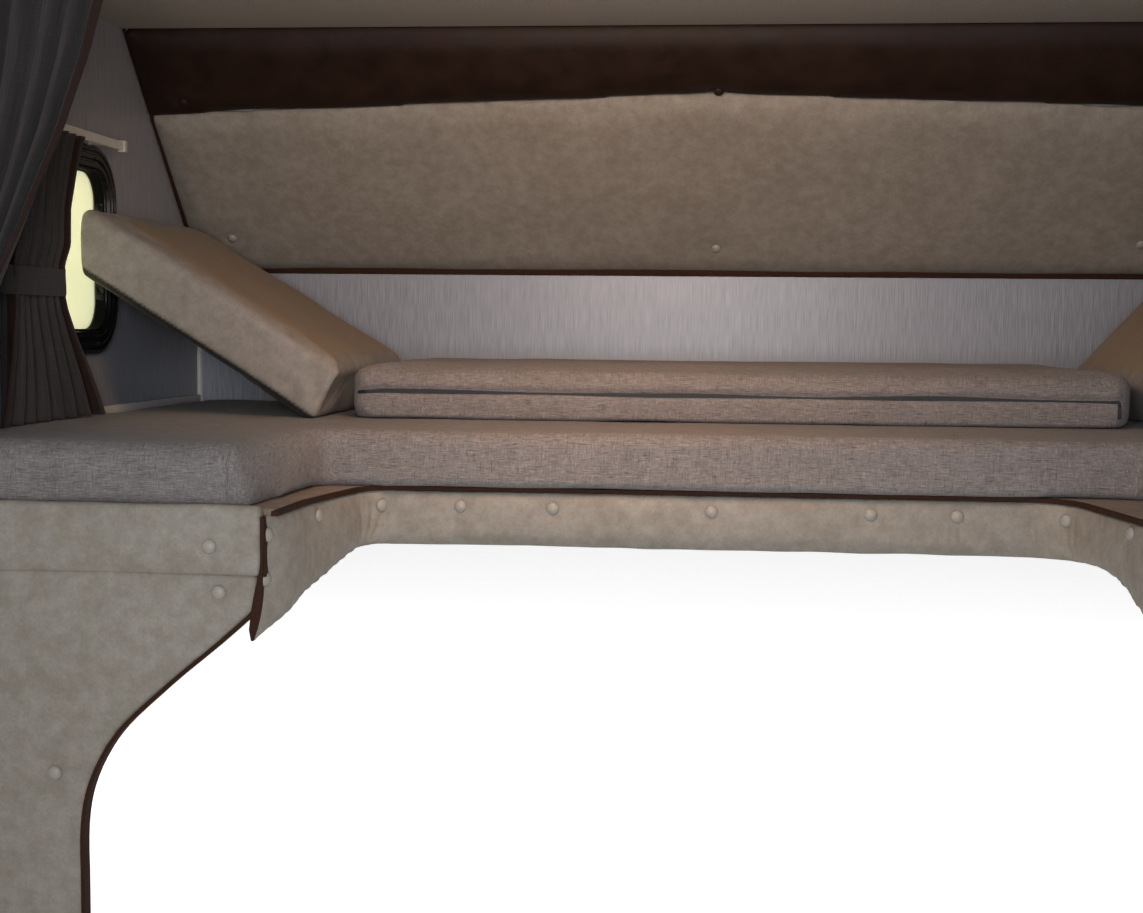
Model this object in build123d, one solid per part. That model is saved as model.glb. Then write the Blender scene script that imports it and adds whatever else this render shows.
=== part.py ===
"""Over-cab bunk section of a motorhome with its padded cab-opening surround.

Millimetres. X to the right as seen from the living space, Y forward, Z up.
The origin lies on the underside of the deck, on the centreline.
"""
import os
from math import cos, hypot, radians, sin, sqrt
from build123d import *

os.makedirs("parts", exist_ok=True)

# Room inside
HALF = 1218            # centreline to the wallpaper of a side wall
REAR = -900            # rear edge of the wings, where the coach body starts
FRONT = 520            # wallpaper of the front wall
CEILING = 970
SLOPE_TOP = 40         # Y where the sloped panel meets the ceiling
SLOPE_FOOT = 490       # Z where the sloped panel meets the front wall
LINER = 5
CEILING_PLY = 8
SLOPE_PAD = 25
HEADER_PROUD = 6
HEADER_SIDE = 457      # distance up the slope to the header at the walls
HEADER_MID = 509       # and at the centreline

# Body shell outside
WALL = 40
ROOF = 42
CAP_SEAM = 60          # Y where the nose cap meets walls and roof
SIDE_ROUND = 70
NOSE_ROUND = 200
CHIN_ROUND = 60

# Deck
DECK = 100             # underside of the seat plate to mattress
BOARD = 18
SEAT = 6               # plate that lies on the cab roof
SEAT_X = 700
SEAT_Y = (-380, 500)
BOLT_R = 6.5
CAB_BOLT_X = 520
CAB_BOLT_Y = (0, 440)

# Cut-out of the deck: X and Y along each side from the rear, and the radii of its turns
CUT = {
    -1: [(629, -925), (625, -765), (606, -660), (583, -525)],
    1: [(634, -925), (606, -725), (592, -625), (578, -525)],
}
CUT_REAR = -925
CUT_DEEP = -525
CUT_ROUND = {-1: 58, 1: 85}
CUT_BEND = 220
ARCH_PAD = 18
ARCH_FOOT = {
    -1: [
        (-925, -86), (-860, -66), (-800, -54), (-740, -42), (-679, -29), (-630, -17),
        (-585, -8), (-530, -2),
    ],
    1: [
        (-925, -86), (-880, -62), (-846, -45), (-795, -26), (-757, -9), (-730, 0),
        (-690, 3), (-636, 3), (-580, 0), (-530, -2),
    ],
}
TRIM = 9
TRIM_TALL = 7
NOSING = 80

# Mattress and loose cushions
FOAM = 95
MATTRESS_CUT = {-1: (709, 657), 1: (741, 689)}
MATTRESS_SAG = {-1: 42, 1: 0}
MATTRESS_DEEP = -543
FOAM_ROUND = 20
FILL_X = (-695, 771)
FILL_Y = (-212, 460)
FILL_T = 97
FILL_GAP = 0.3
FILL_ROUND = 24
BOLSTER_Y = -240
BOLSTER_ROUND = 16
BOLSTER_SIZE = {"left": (590, 640, 115), "right": (590, 640, 115)}
BOLSTERS = {"left": (-1, 753, 32), "right": (1, 850, 47.2)}

# Cab-opening surround
PAD = 25
FASCIA_Z = (4, 106)
WELT = 6
STRIP = 8
FLOOR = -1200
BULKHEAD = 40
SET_BACK = 30
EDGE = [
    (658, 3), (661, -27), (668, -46), (683, -62), (704, -81), (745, -116), (786, -150),
    (826, -186), (850, -208), (871, -230), (887, -251), (901, -274), (914, -301),
    (924, -330), (930, -360), (933, -395), (933, -450), (933, FLOOR),
]

# Window in each side wall
WIN_Y = -290
WIN_Z = 512
WIN_W = 540
WIN_H = 406
WIN_ROUND = 106
RING = 50
RING_PROUD = 14
FLANGE_PROUD = 7
GLASS = 5

# Curtains
RAIL_X = (1172, 1178)
RAIL_Y = (-600, -70)
RAIL_Z = (712, 728)
TRACK_Y = -840


def profile(points):
    """A face in the YZ plane through the given (y, z) points."""
    return make_face(Plane.YZ * Polyline(*points, close=True))


def box(x, y, z):
    """A box between pairs of limits."""
    size = (x[1] - x[0], y[1] - y[0], z[1] - z[0])
    mid = ((x[0] + x[1]) / 2, (y[0] + y[1]) / 2, (z[0] + z[1]) / 2)
    return Pos(*mid) * Box(*size)


def save(name, shape):
    """Write one node."""
    solids = shape.solids()
    shape = solids[0] if len(solids) == 1 else Compound(children=list(solids))
    shape.label = name
    export_step(shape, f"parts/{name}.step")


def flip(shape):
    """The mirror image in the centre plane."""
    return mirror(shape, about=Plane.YZ)


def both(name, shape):
    """Write a piece drawn on the right and its mirror image on the left."""
    save(name + "_right", shape)
    save(name + "_left", flip(shape))


def cutout(grow, rear):
    """The cut-out of the deck in plan, from a rear line, grown all round."""
    left = [(-x, y) for x, y in CUT[-1]]
    right = list(CUT[1])
    back = 300
    outline = [(left[0][0], CUT_REAR - back), *left, *right[::-1]]
    outline.append((right[0][0], CUT_REAR - back))
    face = make_face(Polyline(*outline, close=True))
    for x, y in left[1:3] + right[1:3]:
        face = fillet([v for v in face.vertices() if abs(v.X - x) + abs(v.Y - y) < 1], CUT_BEND)
    for side, (x, y) in ((-1, left[3]), (1, right[3])):
        turn = [v for v in face.vertices() if abs(v.X - x) + abs(v.Y - y) < 1]
        face = fillet(turn, CUT_ROUND[side])
    if grow:
        face = offset(face, amount=grow, kind=Kind.ARC)
    return face & Pos(0, rear + 1000) * Rectangle(4000, 2000)


# Body shell
pad_line = FRONT + SLOPE_FOOT + SLOPE_PAD * sqrt(2)
skin_line = pad_line + ROOF * sqrt(2)
inner_x = HALF + LINER
outer_x = inner_x + WALL
inner_z = CEILING + CEILING_PLY
outer_z = inner_z + ROOF
inner_y = FRONT + LINER
outer_y = inner_y + WALL
cavity_face = profile([
    (REAR - 50, -10), (REAR - 50, inner_z), (pad_line - inner_z, inner_z),
    (inner_y, pad_line - inner_y), (inner_y, -10),
])
cavity = extrude(cavity_face, amount=inner_x, both=True)
outer_face = profile([
    (REAR, 0), (REAR, outer_z), (skin_line - outer_z, outer_z),
    (outer_y, skin_line - outer_y), (outer_y, 0),
])
corners = outer_face.vertices().sort_by(Axis.Y)
outer_face = fillet(corners[2:3] + [v for v in corners[3:] if v.Z > 100], NOSE_ROUND)
chin = [v for v in outer_face.vertices() if v.Y > outer_y - 1 and v.Z < 1]
outer_face = fillet(chin, CHIN_ROUND)
body = extrude(outer_face, amount=outer_x, both=True)
rim = []
for edge in body.edges():
    bounds = edge.bounding_box()
    on_side = bounds.size.X < 0.01 and abs(bounds.min.X) > outer_x - 1
    at_rear = bounds.max.Y < REAR + 1
    at_foot = bounds.max.Z < 1
    if on_side and not at_rear and not at_foot:
        rim.append(edge)
body = fillet(rim, SIDE_ROUND)
shell = body - cavity
far = 3000
save("nose_cap", shell & box((-far, far), (CAP_SEAM, far), (-10, far)))
save("roof_panel", shell & box((-inner_x, inner_x), (-far, CAP_SEAM), (500, far)))
wall = shell & box((inner_x, far), (-far, CAP_SEAM), (-10, far))

# Window: hole, frame, clamp ring and pane
side_plane = Plane(origin=(0, WIN_Y, WIN_Z), x_dir=(0, 1, 0), z_dir=(1, 0, 0))


def window_loop(inset):
    """The window outline, drawn in by the given amount."""
    radius = WIN_ROUND - inset
    return RectangleRounded(WIN_W - 2 * inset, WIN_H - 2 * inset, radius)


def window_solid(inset, x_from, x_to):
    """A prism of the window outline across the wall."""
    face = side_plane.offset(x_from) * window_loop(inset)
    return extrude(face, amount=x_to - x_from, dir=(1, 0, 0))


hole = window_solid(28, HALF - 60, outer_x + 60)
both("wall", wall - hole)
pane_x = outer_x - 21
flange = window_solid(4, outer_x, outer_x + FLANGE_PROUD)
sleeve = window_solid(28, HALF, outer_x)
opening = window_solid(RING, HALF - 60, outer_x + 60)
rebate = window_solid(RING - 12, pane_x - GLASS, pane_x)
both("window_frame", flange + sleeve - opening - rebate)
both("window_pane", rebate)
ring = window_solid(0, HALF - RING_PROUD, HALF)
step = window_solid(RING - 14, HALF - RING_PROUD - 1, HALF - RING_PROUD + 6)
both("window_ring", ring - opening - step)

# Wallpaper liners, ceiling and padded slope
liner_face = profile([
    (REAR, DECK), (REAR, CEILING), (SLOPE_TOP, CEILING), (FRONT, SLOPE_FOOT),
    (FRONT, DECK),
])
liner = extrude(liner_face, amount=LINER, dir=(1, 0, 0))
both("liner", Pos(HALF, 0, 0) * liner - hole)
front_box = box((-HALF, HALF), (FRONT, inner_y), (DECK, SLOPE_FOOT))
save("liner_front", front_box)
save("seam_strip", box((-42, 42), (FRONT - 4, FRONT), (DECK + FOAM, SLOPE_FOOT - 2)))
save("ceiling_panel", box((-inner_x, inner_x), (REAR, SLOPE_TOP), (CEILING, inner_z)))
slope_plane = Plane(
    origin=(0, FRONT, SLOPE_FOOT), x_dir=(1, 0, 0), z_dir=(0, -1, -1)
)
top = (CEILING - SLOPE_FOOT) * sqrt(2)
room = extrude(cavity_face, amount=HALF, both=True)
lower = slope_plane * Polyline(
    (-HALF, 0), (HALF, 0), (HALF, HEADER_SIDE), (0, HEADER_MID),
    (-HALF, HEADER_SIDE), close=True
)
upper = slope_plane.offset(HEADER_PROUD) * Polyline(
    (-HALF, HEADER_SIDE), (0, HEADER_MID), (HALF, HEADER_SIDE),
    (HALF, top - HEADER_PROUD), (-HALF, top - HEADER_PROUD), close=True
)
outward = (0, 1, 1)
save("slope_pad", extrude(make_face(lower), amount=SLOPE_PAD, dir=outward) & room)
header = extrude(make_face(upper), amount=SLOPE_PAD + HEADER_PROUD, dir=outward)
save("header_pad", header & room)

# Deck board, nosing and sandwich core
deck_hole = cutout(NOSING, REAR - 50)
board_box = box((-inner_x, inner_x), (REAR, inner_y), (DECK - BOARD, DECK))
under_hole = extrude(deck_hole, amount=200)
save("deck_board", board_box - Pos(0, 0, 10) * under_hole)
behind = box((-far, far), (REAR, far), (-300, 300))


def band(near, wide, z_from, z_to):
    """A strip that follows the cut-out between two distances from its face."""
    wide_face = cutout(wide, CUT_REAR)
    near_face = cutout(near, CUT_REAR)
    return Pos(0, 0, z_from) * extrude(wide_face - near_face, amount=z_to - z_from)


nosing = band(ARCH_PAD, NOSING, DECK - BOARD, DECK - TRIM_TALL) & behind
ledge = band(TRIM, NOSING, DECK - TRIM_TALL, DECK) & behind
save("deck_nosing", nosing + ledge)
core = box((-inner_x, inner_x), (REAR, inner_y), (SEAT, DECK - BOARD))
core = core - Pos(0, 0, -50) * under_hole
plate = box((-SEAT_X, SEAT_X), SEAT_Y, (0, SEAT))
plate = fillet(plate.edges().filter_by(Axis.Z), 30)
for y in CAB_BOLT_Y:
    for x in (-CAB_BOLT_X, CAB_BOLT_X):
        core = core - Pos(x, y, 40) * Cylinder(BOLT_R, 200)
        plate = plate - Pos(x, y, 0) * Cylinder(BOLT_R, 200)
save("deck_core", core)
save("roof_seat", plate)

# Padded arch around the cut-out
arch_sides = []
for side, foot in ARCH_FOOT.items():
    arch_foot = Spline(*foot)
    arch_top = DECK - TRIM_TALL
    arch_head = Polyline(
        foot[-1], (far, foot[-1][1]), (far, arch_top), (CUT_REAR, arch_top), foot[0]
    )
    arch_side = make_face(Plane.YZ * arch_foot + Plane.YZ * arch_head)
    arch_sides.append(extrude(arch_side, amount=side * HALF))
arch_shape = arch_sides[0] + arch_sides[1]
arch_solid = band(0, ARCH_PAD, -100, DECK) & arch_shape
save("arch_pad", arch_solid)
save("arch_trim", band(-1, TRIM, DECK - TRIM_TALL, DECK))
arch_room = Pos(0, 0, -300) * extrude(cutout(ARCH_PAD, CUT_REAR), amount=600)

# Wing fascias, side panels, their welts and the bulkheads behind
pad_y = (REAR - PAD, REAR)
wing_gap = {side: CUT[side][0][0] + ARCH_PAD + STRIP for side in CUT}


def edge_points(side, grow, first=0):
    """The free edge of a side panel, moved out along its normal."""
    shift = CUT[side][0][0] - CUT[-1][0][0]
    points = []
    for i, (x, z) in enumerate(EDGE):
        ax, az = EDGE[max(i - 1, 0)]
        bx, bz = EDGE[min(i + 1, len(EDGE) - 1)]
        run = hypot(bx - ax, bz - az)
        nx, nz = (bz - az) / run, -(bx - ax) / run
        blend = shift * max(0, 1 + z / 400) if z > -400 else 0
        inside = 0 < i < len(EDGE) - 1
        points.append((side * (x + blend + nx * grow), z + nz * grow * inside))
    return points[first:]


def panel(side, points, y_from, y_to, z_top):
    """A side panel bounded by the wall and its free edge."""
    plane = Plane(origin=(0, y_from, 0), x_dir=(1, 0, 0), z_dir=(0, -1, 0))
    curve = Spline(*points[:-1])
    foot = points[-1]
    wall_x = side * HALF
    lines = Polyline(points[-2], foot, (wall_x, FLOOR), (wall_x, z_top), points[0])
    face = make_face(plane * curve + plane * lines)
    return extrude(face, amount=y_to - y_from, dir=(0, 1, 0))


for side, name in ((-1, "left"), (1, "right")):
    fascia_x = sorted((side * HALF, side * wing_gap[side]))
    fascia = box(fascia_x, pad_y, FASCIA_Z)
    top_edges = [e for e in fascia.edges().filter_by(Axis.X) if e.center().Z > 100]
    fascia = fillet(top_edges, 11)
    save(f"fascia_{name}", fascia)
    z_top = EDGE[0][1]
    free = edge_points(side, 0)
    save(f"side_panel_{name}", panel(side, free, REAR - PAD, REAR, z_top))
    wide = panel(side, edge_points(side, WELT), REAR - PAD + 3, REAR, z_top)
    welt = wide - panel(side, free, REAR - PAD, REAR + 1, z_top)
    strip_x = sorted((side * wing_gap[side], side * (wing_gap[side] - STRIP)))
    strip = box(strip_x, (REAR - PAD + 3, REAR), (z_top, DECK - TRIM_TALL - 2))
    save(f"side_trim_{name}", welt - arch_room + strip)
    hidden = edge_points(side, -SET_BACK, 5)
    (ax, az), (bx, bz) = hidden[:2]
    hidden = [(ax + (ax - bx) * (z_top - az) / (az - bz), z_top)] + hidden
    board = panel(side, hidden, REAR, REAR + BULKHEAD, z_top)
    below = box((-far, far), (-far, far), (FLOOR + 8, 0))
    save(f"bulkhead_{name}", (board & below) - arch_room)
    foot_x = sorted((side * (HALF - 40), side * (HALF - 240)))
    foot = box(foot_x, (REAR, REAR + 90), (FLOOR, FLOOR + 8))
    for dx in (70, 210):
        foot = foot - Pos(side * (HALF - dx), REAR + 65, FLOOR + 4) * Cylinder(5.5, 40)
    save(f"foot_{name}", foot)

# Joining flanges to the coach body
joint = box((inner_x, outer_x), (REAR - 6, REAR), (120, 940))
for z in (190, 870):
    joint = joint - Pos(HALF + 25, REAR - 3, z) * Rot(90, 0, 0) * Cylinder(4.5, 40)
both("coach_flange", joint)

# Mattress and loose cushions
mattress_box = box((-HALF + 4, HALF - 4), (REAR, FRONT - 2), (DECK, DECK + FOAM))
deep = MATTRESS_DEEP
cut_faces = []
for z, share in ((DECK - 0.5, 1), (DECK + FOAM + 0.5, 0)):
    sketch_pts = []
    for side in (-1, 1):
        x_rear, x_deep = MATTRESS_CUT[side]
        x_rear = x_rear - share * MATTRESS_SAG[side]
        slope = (x_rear - x_deep) / (deep - REAR)
        sketch_pts.append(((side * (x_rear + slope * 50), REAR - 50), (side * x_deep, deep)))
    (pa, pb), (pd, pc) = sketch_pts
    cut_faces.append(Pos(0, 0, z) * make_face(Polyline(pa, pb, pc, pd, close=True)))
mattress_cut = loft(cut_faces, ruled=True)
mattress = mattress_box - mattress_cut
uprights = [e for e in mattress.edges() if e.bounding_box().size.Z > FOAM - 1]
mattress = fillet(uprights, 30)
rims = [e for e in mattress.edges() if abs(e.center().Z - DECK - FOAM) < 1]
mattress = fillet(rims, FOAM_ROUND)
save("mattress", mattress)

foam_top = DECK + FOAM
fill = box(FILL_X, FILL_Y, (foam_top + FILL_GAP, foam_top + FILL_T))
fill = fillet(fill.edges().filter_by(Axis.Z), 45)
fill = fillet(fill.edges().filter_by(Plane.XY), FILL_ROUND)
save("fill_cushion", fill)

# the upper end of each leaning cushion is pressed flat on the window's clamp ring
lean_room = box((-far, HALF - RING_PROUD - 1), (-far, far), (-far, far))
# The right cushion's top is jammed under the slope pad, so it is pressed off along that slope.
under_slope = profile([(-2000, -2000), (-2000, 3009), (3009, -2000)])
lean_room = lean_room & extrude(under_slope, amount=far, both=True)
for name, (side, foot_x, lean) in BOLSTERS.items():
    length, depth, thick = BOLSTER_SIZE[name]
    cushion = fillet(Box(length, depth, thick).edges(), BOLSTER_ROUND)
    cushion = Pos(length / 2, depth / 2, thick / 2) * cushion
    angle = radians(lean)
    drop = BOLSTER_ROUND * (sin(angle) + cos(angle) - 1)
    cushion = Rot(0, -lean, 0) * cushion
    cushion = Pos(foot_x, BOLSTER_Y, foam_top - drop) * cushion & lean_room
    save(f"bolster_{name}", cushion if side > 0 else flip(cushion))

# Curtain rails, window curtains, ceiling track and privacy drapes
rod = box(RAIL_X, RAIL_Y, RAIL_Z)
mid_z = (RAIL_Z[0] + RAIL_Z[1]) / 2
for y in RAIL_Y:
    rod = rod + box((RAIL_X[0] - 4, RAIL_X[1] + 4), (y - 6, y + 6), (mid_z - 11, mid_z + 11))
for y in (RAIL_Y[0] + 60, RAIL_Y[1] - 60):
    rod = rod + box((RAIL_X[1], HALF), (y - 8, y + 8), (mid_z - 4, mid_z + 4))
both("curtain_rail", rod)
hang_z = RAIL_Z[0]
hour_glass = make_face(Plane.YZ * (Spline(
    (-578, hang_z), (-600, 600), (-632, 490), (-640, 410), (-651, 312), (-666, 238),
    (-682, foam_top)
) + Line((-682, foam_top), (-215, foam_top)) + Spline(
    (-215, foam_top), (-291, 265), (-341, 314), (-388, 362), (-420, 410), (-424, 460),
    (-398, 530), (-386, 590), (-364, 642), (-318, hang_z)
) + Line((-318, hang_z), (-578, hang_z))))
hung_x = (RAIL_X[0] + RAIL_X[1]) / 2 - 21
both("window_curtain", Pos(hung_x, 0, 0) * extrude(hour_glass, amount=42, dir=(1, 0, 0)))
save("drape_track", box((-HALF, HALF), (TRACK_Y - 10, TRACK_Y + 10), (CEILING - 12, CEILING)))
track_z = CEILING - 12
swept = make_face(Plane.XZ * (Spline(
    (872, track_z), (926, 768), (966, 658), (1031, 517), (1076, 425), (1098, 375),
    (1096, 310), (1092, foam_top)
) + Polyline((1092, foam_top), (HALF - 12, foam_top), (HALF - 12, track_z), (872, track_z))))
drape = extrude(swept, amount=56, dir=(0, 1, 0))
both("drape", Pos(0, TRACK_Y - 28, 0) * drape)
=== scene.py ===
import math

import bmesh
import bpy
import numpy
from mathutils import Matrix, Vector, noise


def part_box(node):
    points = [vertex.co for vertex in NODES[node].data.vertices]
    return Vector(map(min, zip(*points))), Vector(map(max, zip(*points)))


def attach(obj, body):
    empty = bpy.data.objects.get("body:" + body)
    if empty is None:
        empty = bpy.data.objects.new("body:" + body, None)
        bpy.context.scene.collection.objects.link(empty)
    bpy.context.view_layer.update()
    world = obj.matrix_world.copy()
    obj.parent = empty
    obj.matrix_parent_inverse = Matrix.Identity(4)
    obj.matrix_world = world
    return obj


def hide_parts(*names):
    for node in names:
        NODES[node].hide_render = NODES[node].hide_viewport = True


bl_info = {
    "name": "Over-cab bunk section",
    "version": (1, 0, 0),
    "blender": (4, 5, 0),
    "location": "3D View > Sidebar > Bunk",
    "description": "Upholstery, linings, windows and shell fittings of an over-cab bunk",
    "category": "Object",
}

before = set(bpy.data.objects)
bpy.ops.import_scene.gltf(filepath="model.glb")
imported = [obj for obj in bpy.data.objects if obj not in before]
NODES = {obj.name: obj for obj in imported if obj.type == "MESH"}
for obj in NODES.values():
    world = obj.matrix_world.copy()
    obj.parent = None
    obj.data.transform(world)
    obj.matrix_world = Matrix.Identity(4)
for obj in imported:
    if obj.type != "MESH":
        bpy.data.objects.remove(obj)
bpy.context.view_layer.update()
WALL_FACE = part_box("liner_right")[0].x
FRONT_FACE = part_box("liner_front")[0].y
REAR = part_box("wall_right")[0].y
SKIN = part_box("wall_right")[1].x
ROOF_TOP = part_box("roof_panel")[1].z
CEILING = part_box("ceiling_panel")[0].z
DECK_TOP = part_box("deck_board")[1].z
FOAM_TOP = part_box("mattress")[1].z
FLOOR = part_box("foot_right")[0].z
CAP_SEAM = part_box("nose_cap")[0].y
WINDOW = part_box("window_ring_right")
ROOT2 = math.sqrt(2)
SLOPE_SUM = 1.010                   # Y + Z of the sloped pad's face
SLOPE_PAD = 0.025                   # thickness of the sloped pad
CAP_WALL = 0.042                    # from the back of that pad to the outside of the nose cap
SLOPE_EDGE = WALL_FACE - 0.0005     # side of a sloped pad, clear of the wall lining
SIDES = ((-1, "left"), (1, "right"))


def linear(code):
    """A colour written as sRGB hex, in linear numbers."""
    parts = [int(code[i:i + 2], 16) / 255 for i in (0, 2, 4)]
    return [c / 12.92 if c <= 0.04045 else ((c + 0.055) / 1.055) ** 2.4 for c in parts]


def tint(name, description, code):
    """A colour that the user may change."""
    return bpy.props.FloatVectorProperty(
        name=name, description=description, subtype="COLOR", size=3, min=0, max=1,
        default=linear(code))


def length(name, description, default):
    """A length that the user may change."""
    return bpy.props.FloatProperty(
        name=name, description=description, default=default, min=0, subtype="DISTANCE",
        unit="LENGTH", precision=4)


class BunkColours(bpy.types.PropertyGroup):
    """Colours of the finishes"""
    beige: tint("Beige vinyl", "Suede vinyl of the pads and surround", "9F988D")
    beige_dark: tint("Beige clouds", "Darker clouds of the beige vinyl", "8C8478")
    bolster: tint("Seat vinyl", "Boxing of the two loose seat cushions", "99938B")
    bolster_dark: tint("Seat clouds", "Darker clouds of the seat vinyl", "878078")
    # painted shade: the seat cushions' top is drawn darker and tan, as the warm light above falls
    # on it
    bolster_top_shade: tint("Seat top", "Tan top panel of the two loose seat cushions", "938067")
    brown: tint("Brown vinyl", "Vinyl of the header, welts and bands", "2E1E17")
    tweed: tint("Tweed", "Ground colour of the mattress cloth", "7F7976")
    tweed_dark: tint("Tweed dark slubs", "Dark slubs of the mattress cloth", "4E4948")
    tweed_light: tint("Tweed light slubs", "Light slubs of the mattress cloth", "9C9592")
    wallpaper: tint("Wallpaper", "Ground colour of the wall lining", "A3A5AC")
    wallpaper_dark: tint("Wallpaper streaks", "Fine streaks of the wall lining", "818389")
    curtain: tint("Curtain cloth", "Ground colour of the curtains", "454240")
    curtain_dark: tint("Curtain dark threads", "Dark threads of the curtains", "373432")
    gelcoat: tint("Gelcoat", "White of the body shell", "E9E7E1")
    glass: tint("Window glass", "Tint of the side windows", "F4F2DA")


class BunkSizes(bpy.types.PropertyGroup):
    """Sizes of the upholstery and fittings"""
    button: length("Button", "Diameter of a covered button", 0.022)
    dimple: length("Dimple", "Depth to which a button is drawn in", 0.007)
    crown: length("Crown", "Most that a wall pad swells", 0.010)
    cushion_crown: length("Cushion crown", "Most that a cushion swells", 0.014)
    zip_width: length("Zip", "Width of the fill cushion's zip", 0.0078)
    band: length("Edge band", "Width of the curtains' brown edge", 0.045)
    thread: length("Cloth thickness", "Thickness of the curtain cloth", 0.0014)


def colours():
    """The colours now set."""
    return bpy.context.scene.bunk_colours


def sizes():
    """The sizes now set."""
    return bpy.context.scene.bunk_sizes


# Materials

def per_mm(size):
    """The scale that gives a pattern features of that size in millimetres."""
    return 1000.0 / size


def rgba(colour):
    """A colour with its alpha."""
    return (*colour, 1.0)


def feed(tree, node, inputs):
    """Give a node's inputs their values and links; a node stands for its first output."""
    for socket, value in inputs.items():
        if isinstance(value, bpy.types.Node):
            value = next(output for output in value.outputs if output.enabled)
        if isinstance(value, bpy.types.NodeSocket):
            tree.links.new(value, node.inputs[socket])
        else:
            node.inputs[socket].default_value = value


def add(tree, kind, inputs, **settings):
    """Add a node with its settings, its values and its links."""
    node = tree.nodes.new("ShaderNode" + kind)
    for name, value in settings.items():
        setattr(node, name, value)
    feed(tree, node, inputs)
    return node


def begin(name, coords="Object"):
    """A new material with its node tree, its shader and the place on the piece."""
    material = bpy.data.materials.new(name)
    material.use_nodes = True
    tree = material.node_tree
    place = add(tree, "TexCoord", {}).outputs[coords]
    return material, tree, tree.nodes["Principled BSDF"], place


def suede_vinyl(name, colour, dark):
    """Brushed polyurethane vinyl: it clouds in soft patches and hardly shines."""
    material, tree, shader, place = begin(name)
    cloud = add(tree, "TexNoise", {
        "Vector": place, "Scale": per_mm(26), "Detail": 8.0, "Roughness": 0.68})
    broad = add(tree, "TexNoise", {
        "Vector": place, "Scale": per_mm(130), "Detail": 4.0, "Roughness": 0.6})
    patch = add(tree, "Math", {
        0: add(tree, "MapRange", {
            "Value": cloud, "From Min": 0.34, "From Max": 0.66, "To Min": -0.15, "To Max": 0.85}),
        1: add(tree, "MapRange", {
            "Value": broad, "From Min": 0.3, "From Max": 0.7, "To Min": -0.15, "To Max": 0.3}),
    }, operation="ADD", use_clamp=True)
    tone = add(tree, "Mix", {0: patch, 6: rgba(dark), 7: rgba(colour)}, data_type="RGBA")
    # real grain is 1 mm; drawn at 4 mm so that it shows
    grain = add(tree, "TexNoise", {
        "Vector": place, "Scale": per_mm(4), "Detail": 3.0, "Roughness": 0.6})
    light = add(tree, "MapRange", {
        "Value": grain, "From Min": 0.3, "From Max": 0.7, "To Min": 0.9, "To Max": 1.07})
    tone = add(tree, "VectorMath", {0: tone, "Scale": light}, operation="SCALE")
    feed(tree, shader, {
        "Base Color": tone, "Specular IOR Level": 0.3, "Sheen Weight": 0.05,
        "Sheen Roughness": 0.5,
        "Roughness": add(tree, "MapRange", {
            "Value": cloud, "From Min": 0.3, "From Max": 0.7, "To Min": 0.68, "To Max": 0.52}),
        "Normal": add(tree, "Bump", {"Height": grain, "Distance": 0.0006, "Strength": 0.5})})
    return material, tree, shader, tone


def panelled_vinyl(name):
    """The seat cushions' vinyl: beige boxing, a darker tan top that is painted shade from the warm
    light above, and a dark band along the bottom.
    """
    material, tree, shader, tone = suede_vinyl(name, colours().bolster, colours().bolster_dark)
    # the tan top is painted shade; the bottom is only drawn darker, in a band
    for panel, colour in (("top_panel", colours().bolster_top_shade), ("under_panel", linear("2A2523"))):
        share = add(tree, "Attribute", {}, attribute_name=panel).outputs["Fac"]
        tone = add(tree, "Mix", {0: share, 6: tone, 7: rgba(colour)}, data_type="RGBA")
    feed(tree, shader, {"Base Color": tone})
    return material


def brown_vinyl(name):
    """Dark leather-look vinyl: a tight grain and a soft gloss."""
    material, tree, shader, place = begin(name)
    cloud = add(tree, "TexNoise", {
        "Vector": place, "Scale": per_mm(60), "Detail": 5.0, "Roughness": 0.55})
    base = colours().brown
    deep = [c * 0.62 for c in base]
    tone = add(tree, "Mix", {
        0: add(tree, "MapRange", {"Value": cloud, "From Min": 0.35, "From Max": 0.65}),
        6: rgba(deep), 7: rgba(base)}, data_type="RGBA")
    # real grain is 1 mm; drawn at 3 mm so that it shows
    grain = add(tree, "TexVoronoi", {"Vector": place, "Scale": per_mm(3)})
    feed(tree, shader, {
        "Base Color": tone, "Specular IOR Level": 0.22,
        "Roughness": add(tree, "MapRange", {
            "Value": cloud, "From Min": 0.3, "From Max": 0.7, "To Min": 0.5, "To Max": 0.62}),
        "Normal": add(tree, "Bump", {"Height": grain, "Distance": 0.0005, "Strength": 0.6})})
    return material


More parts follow.
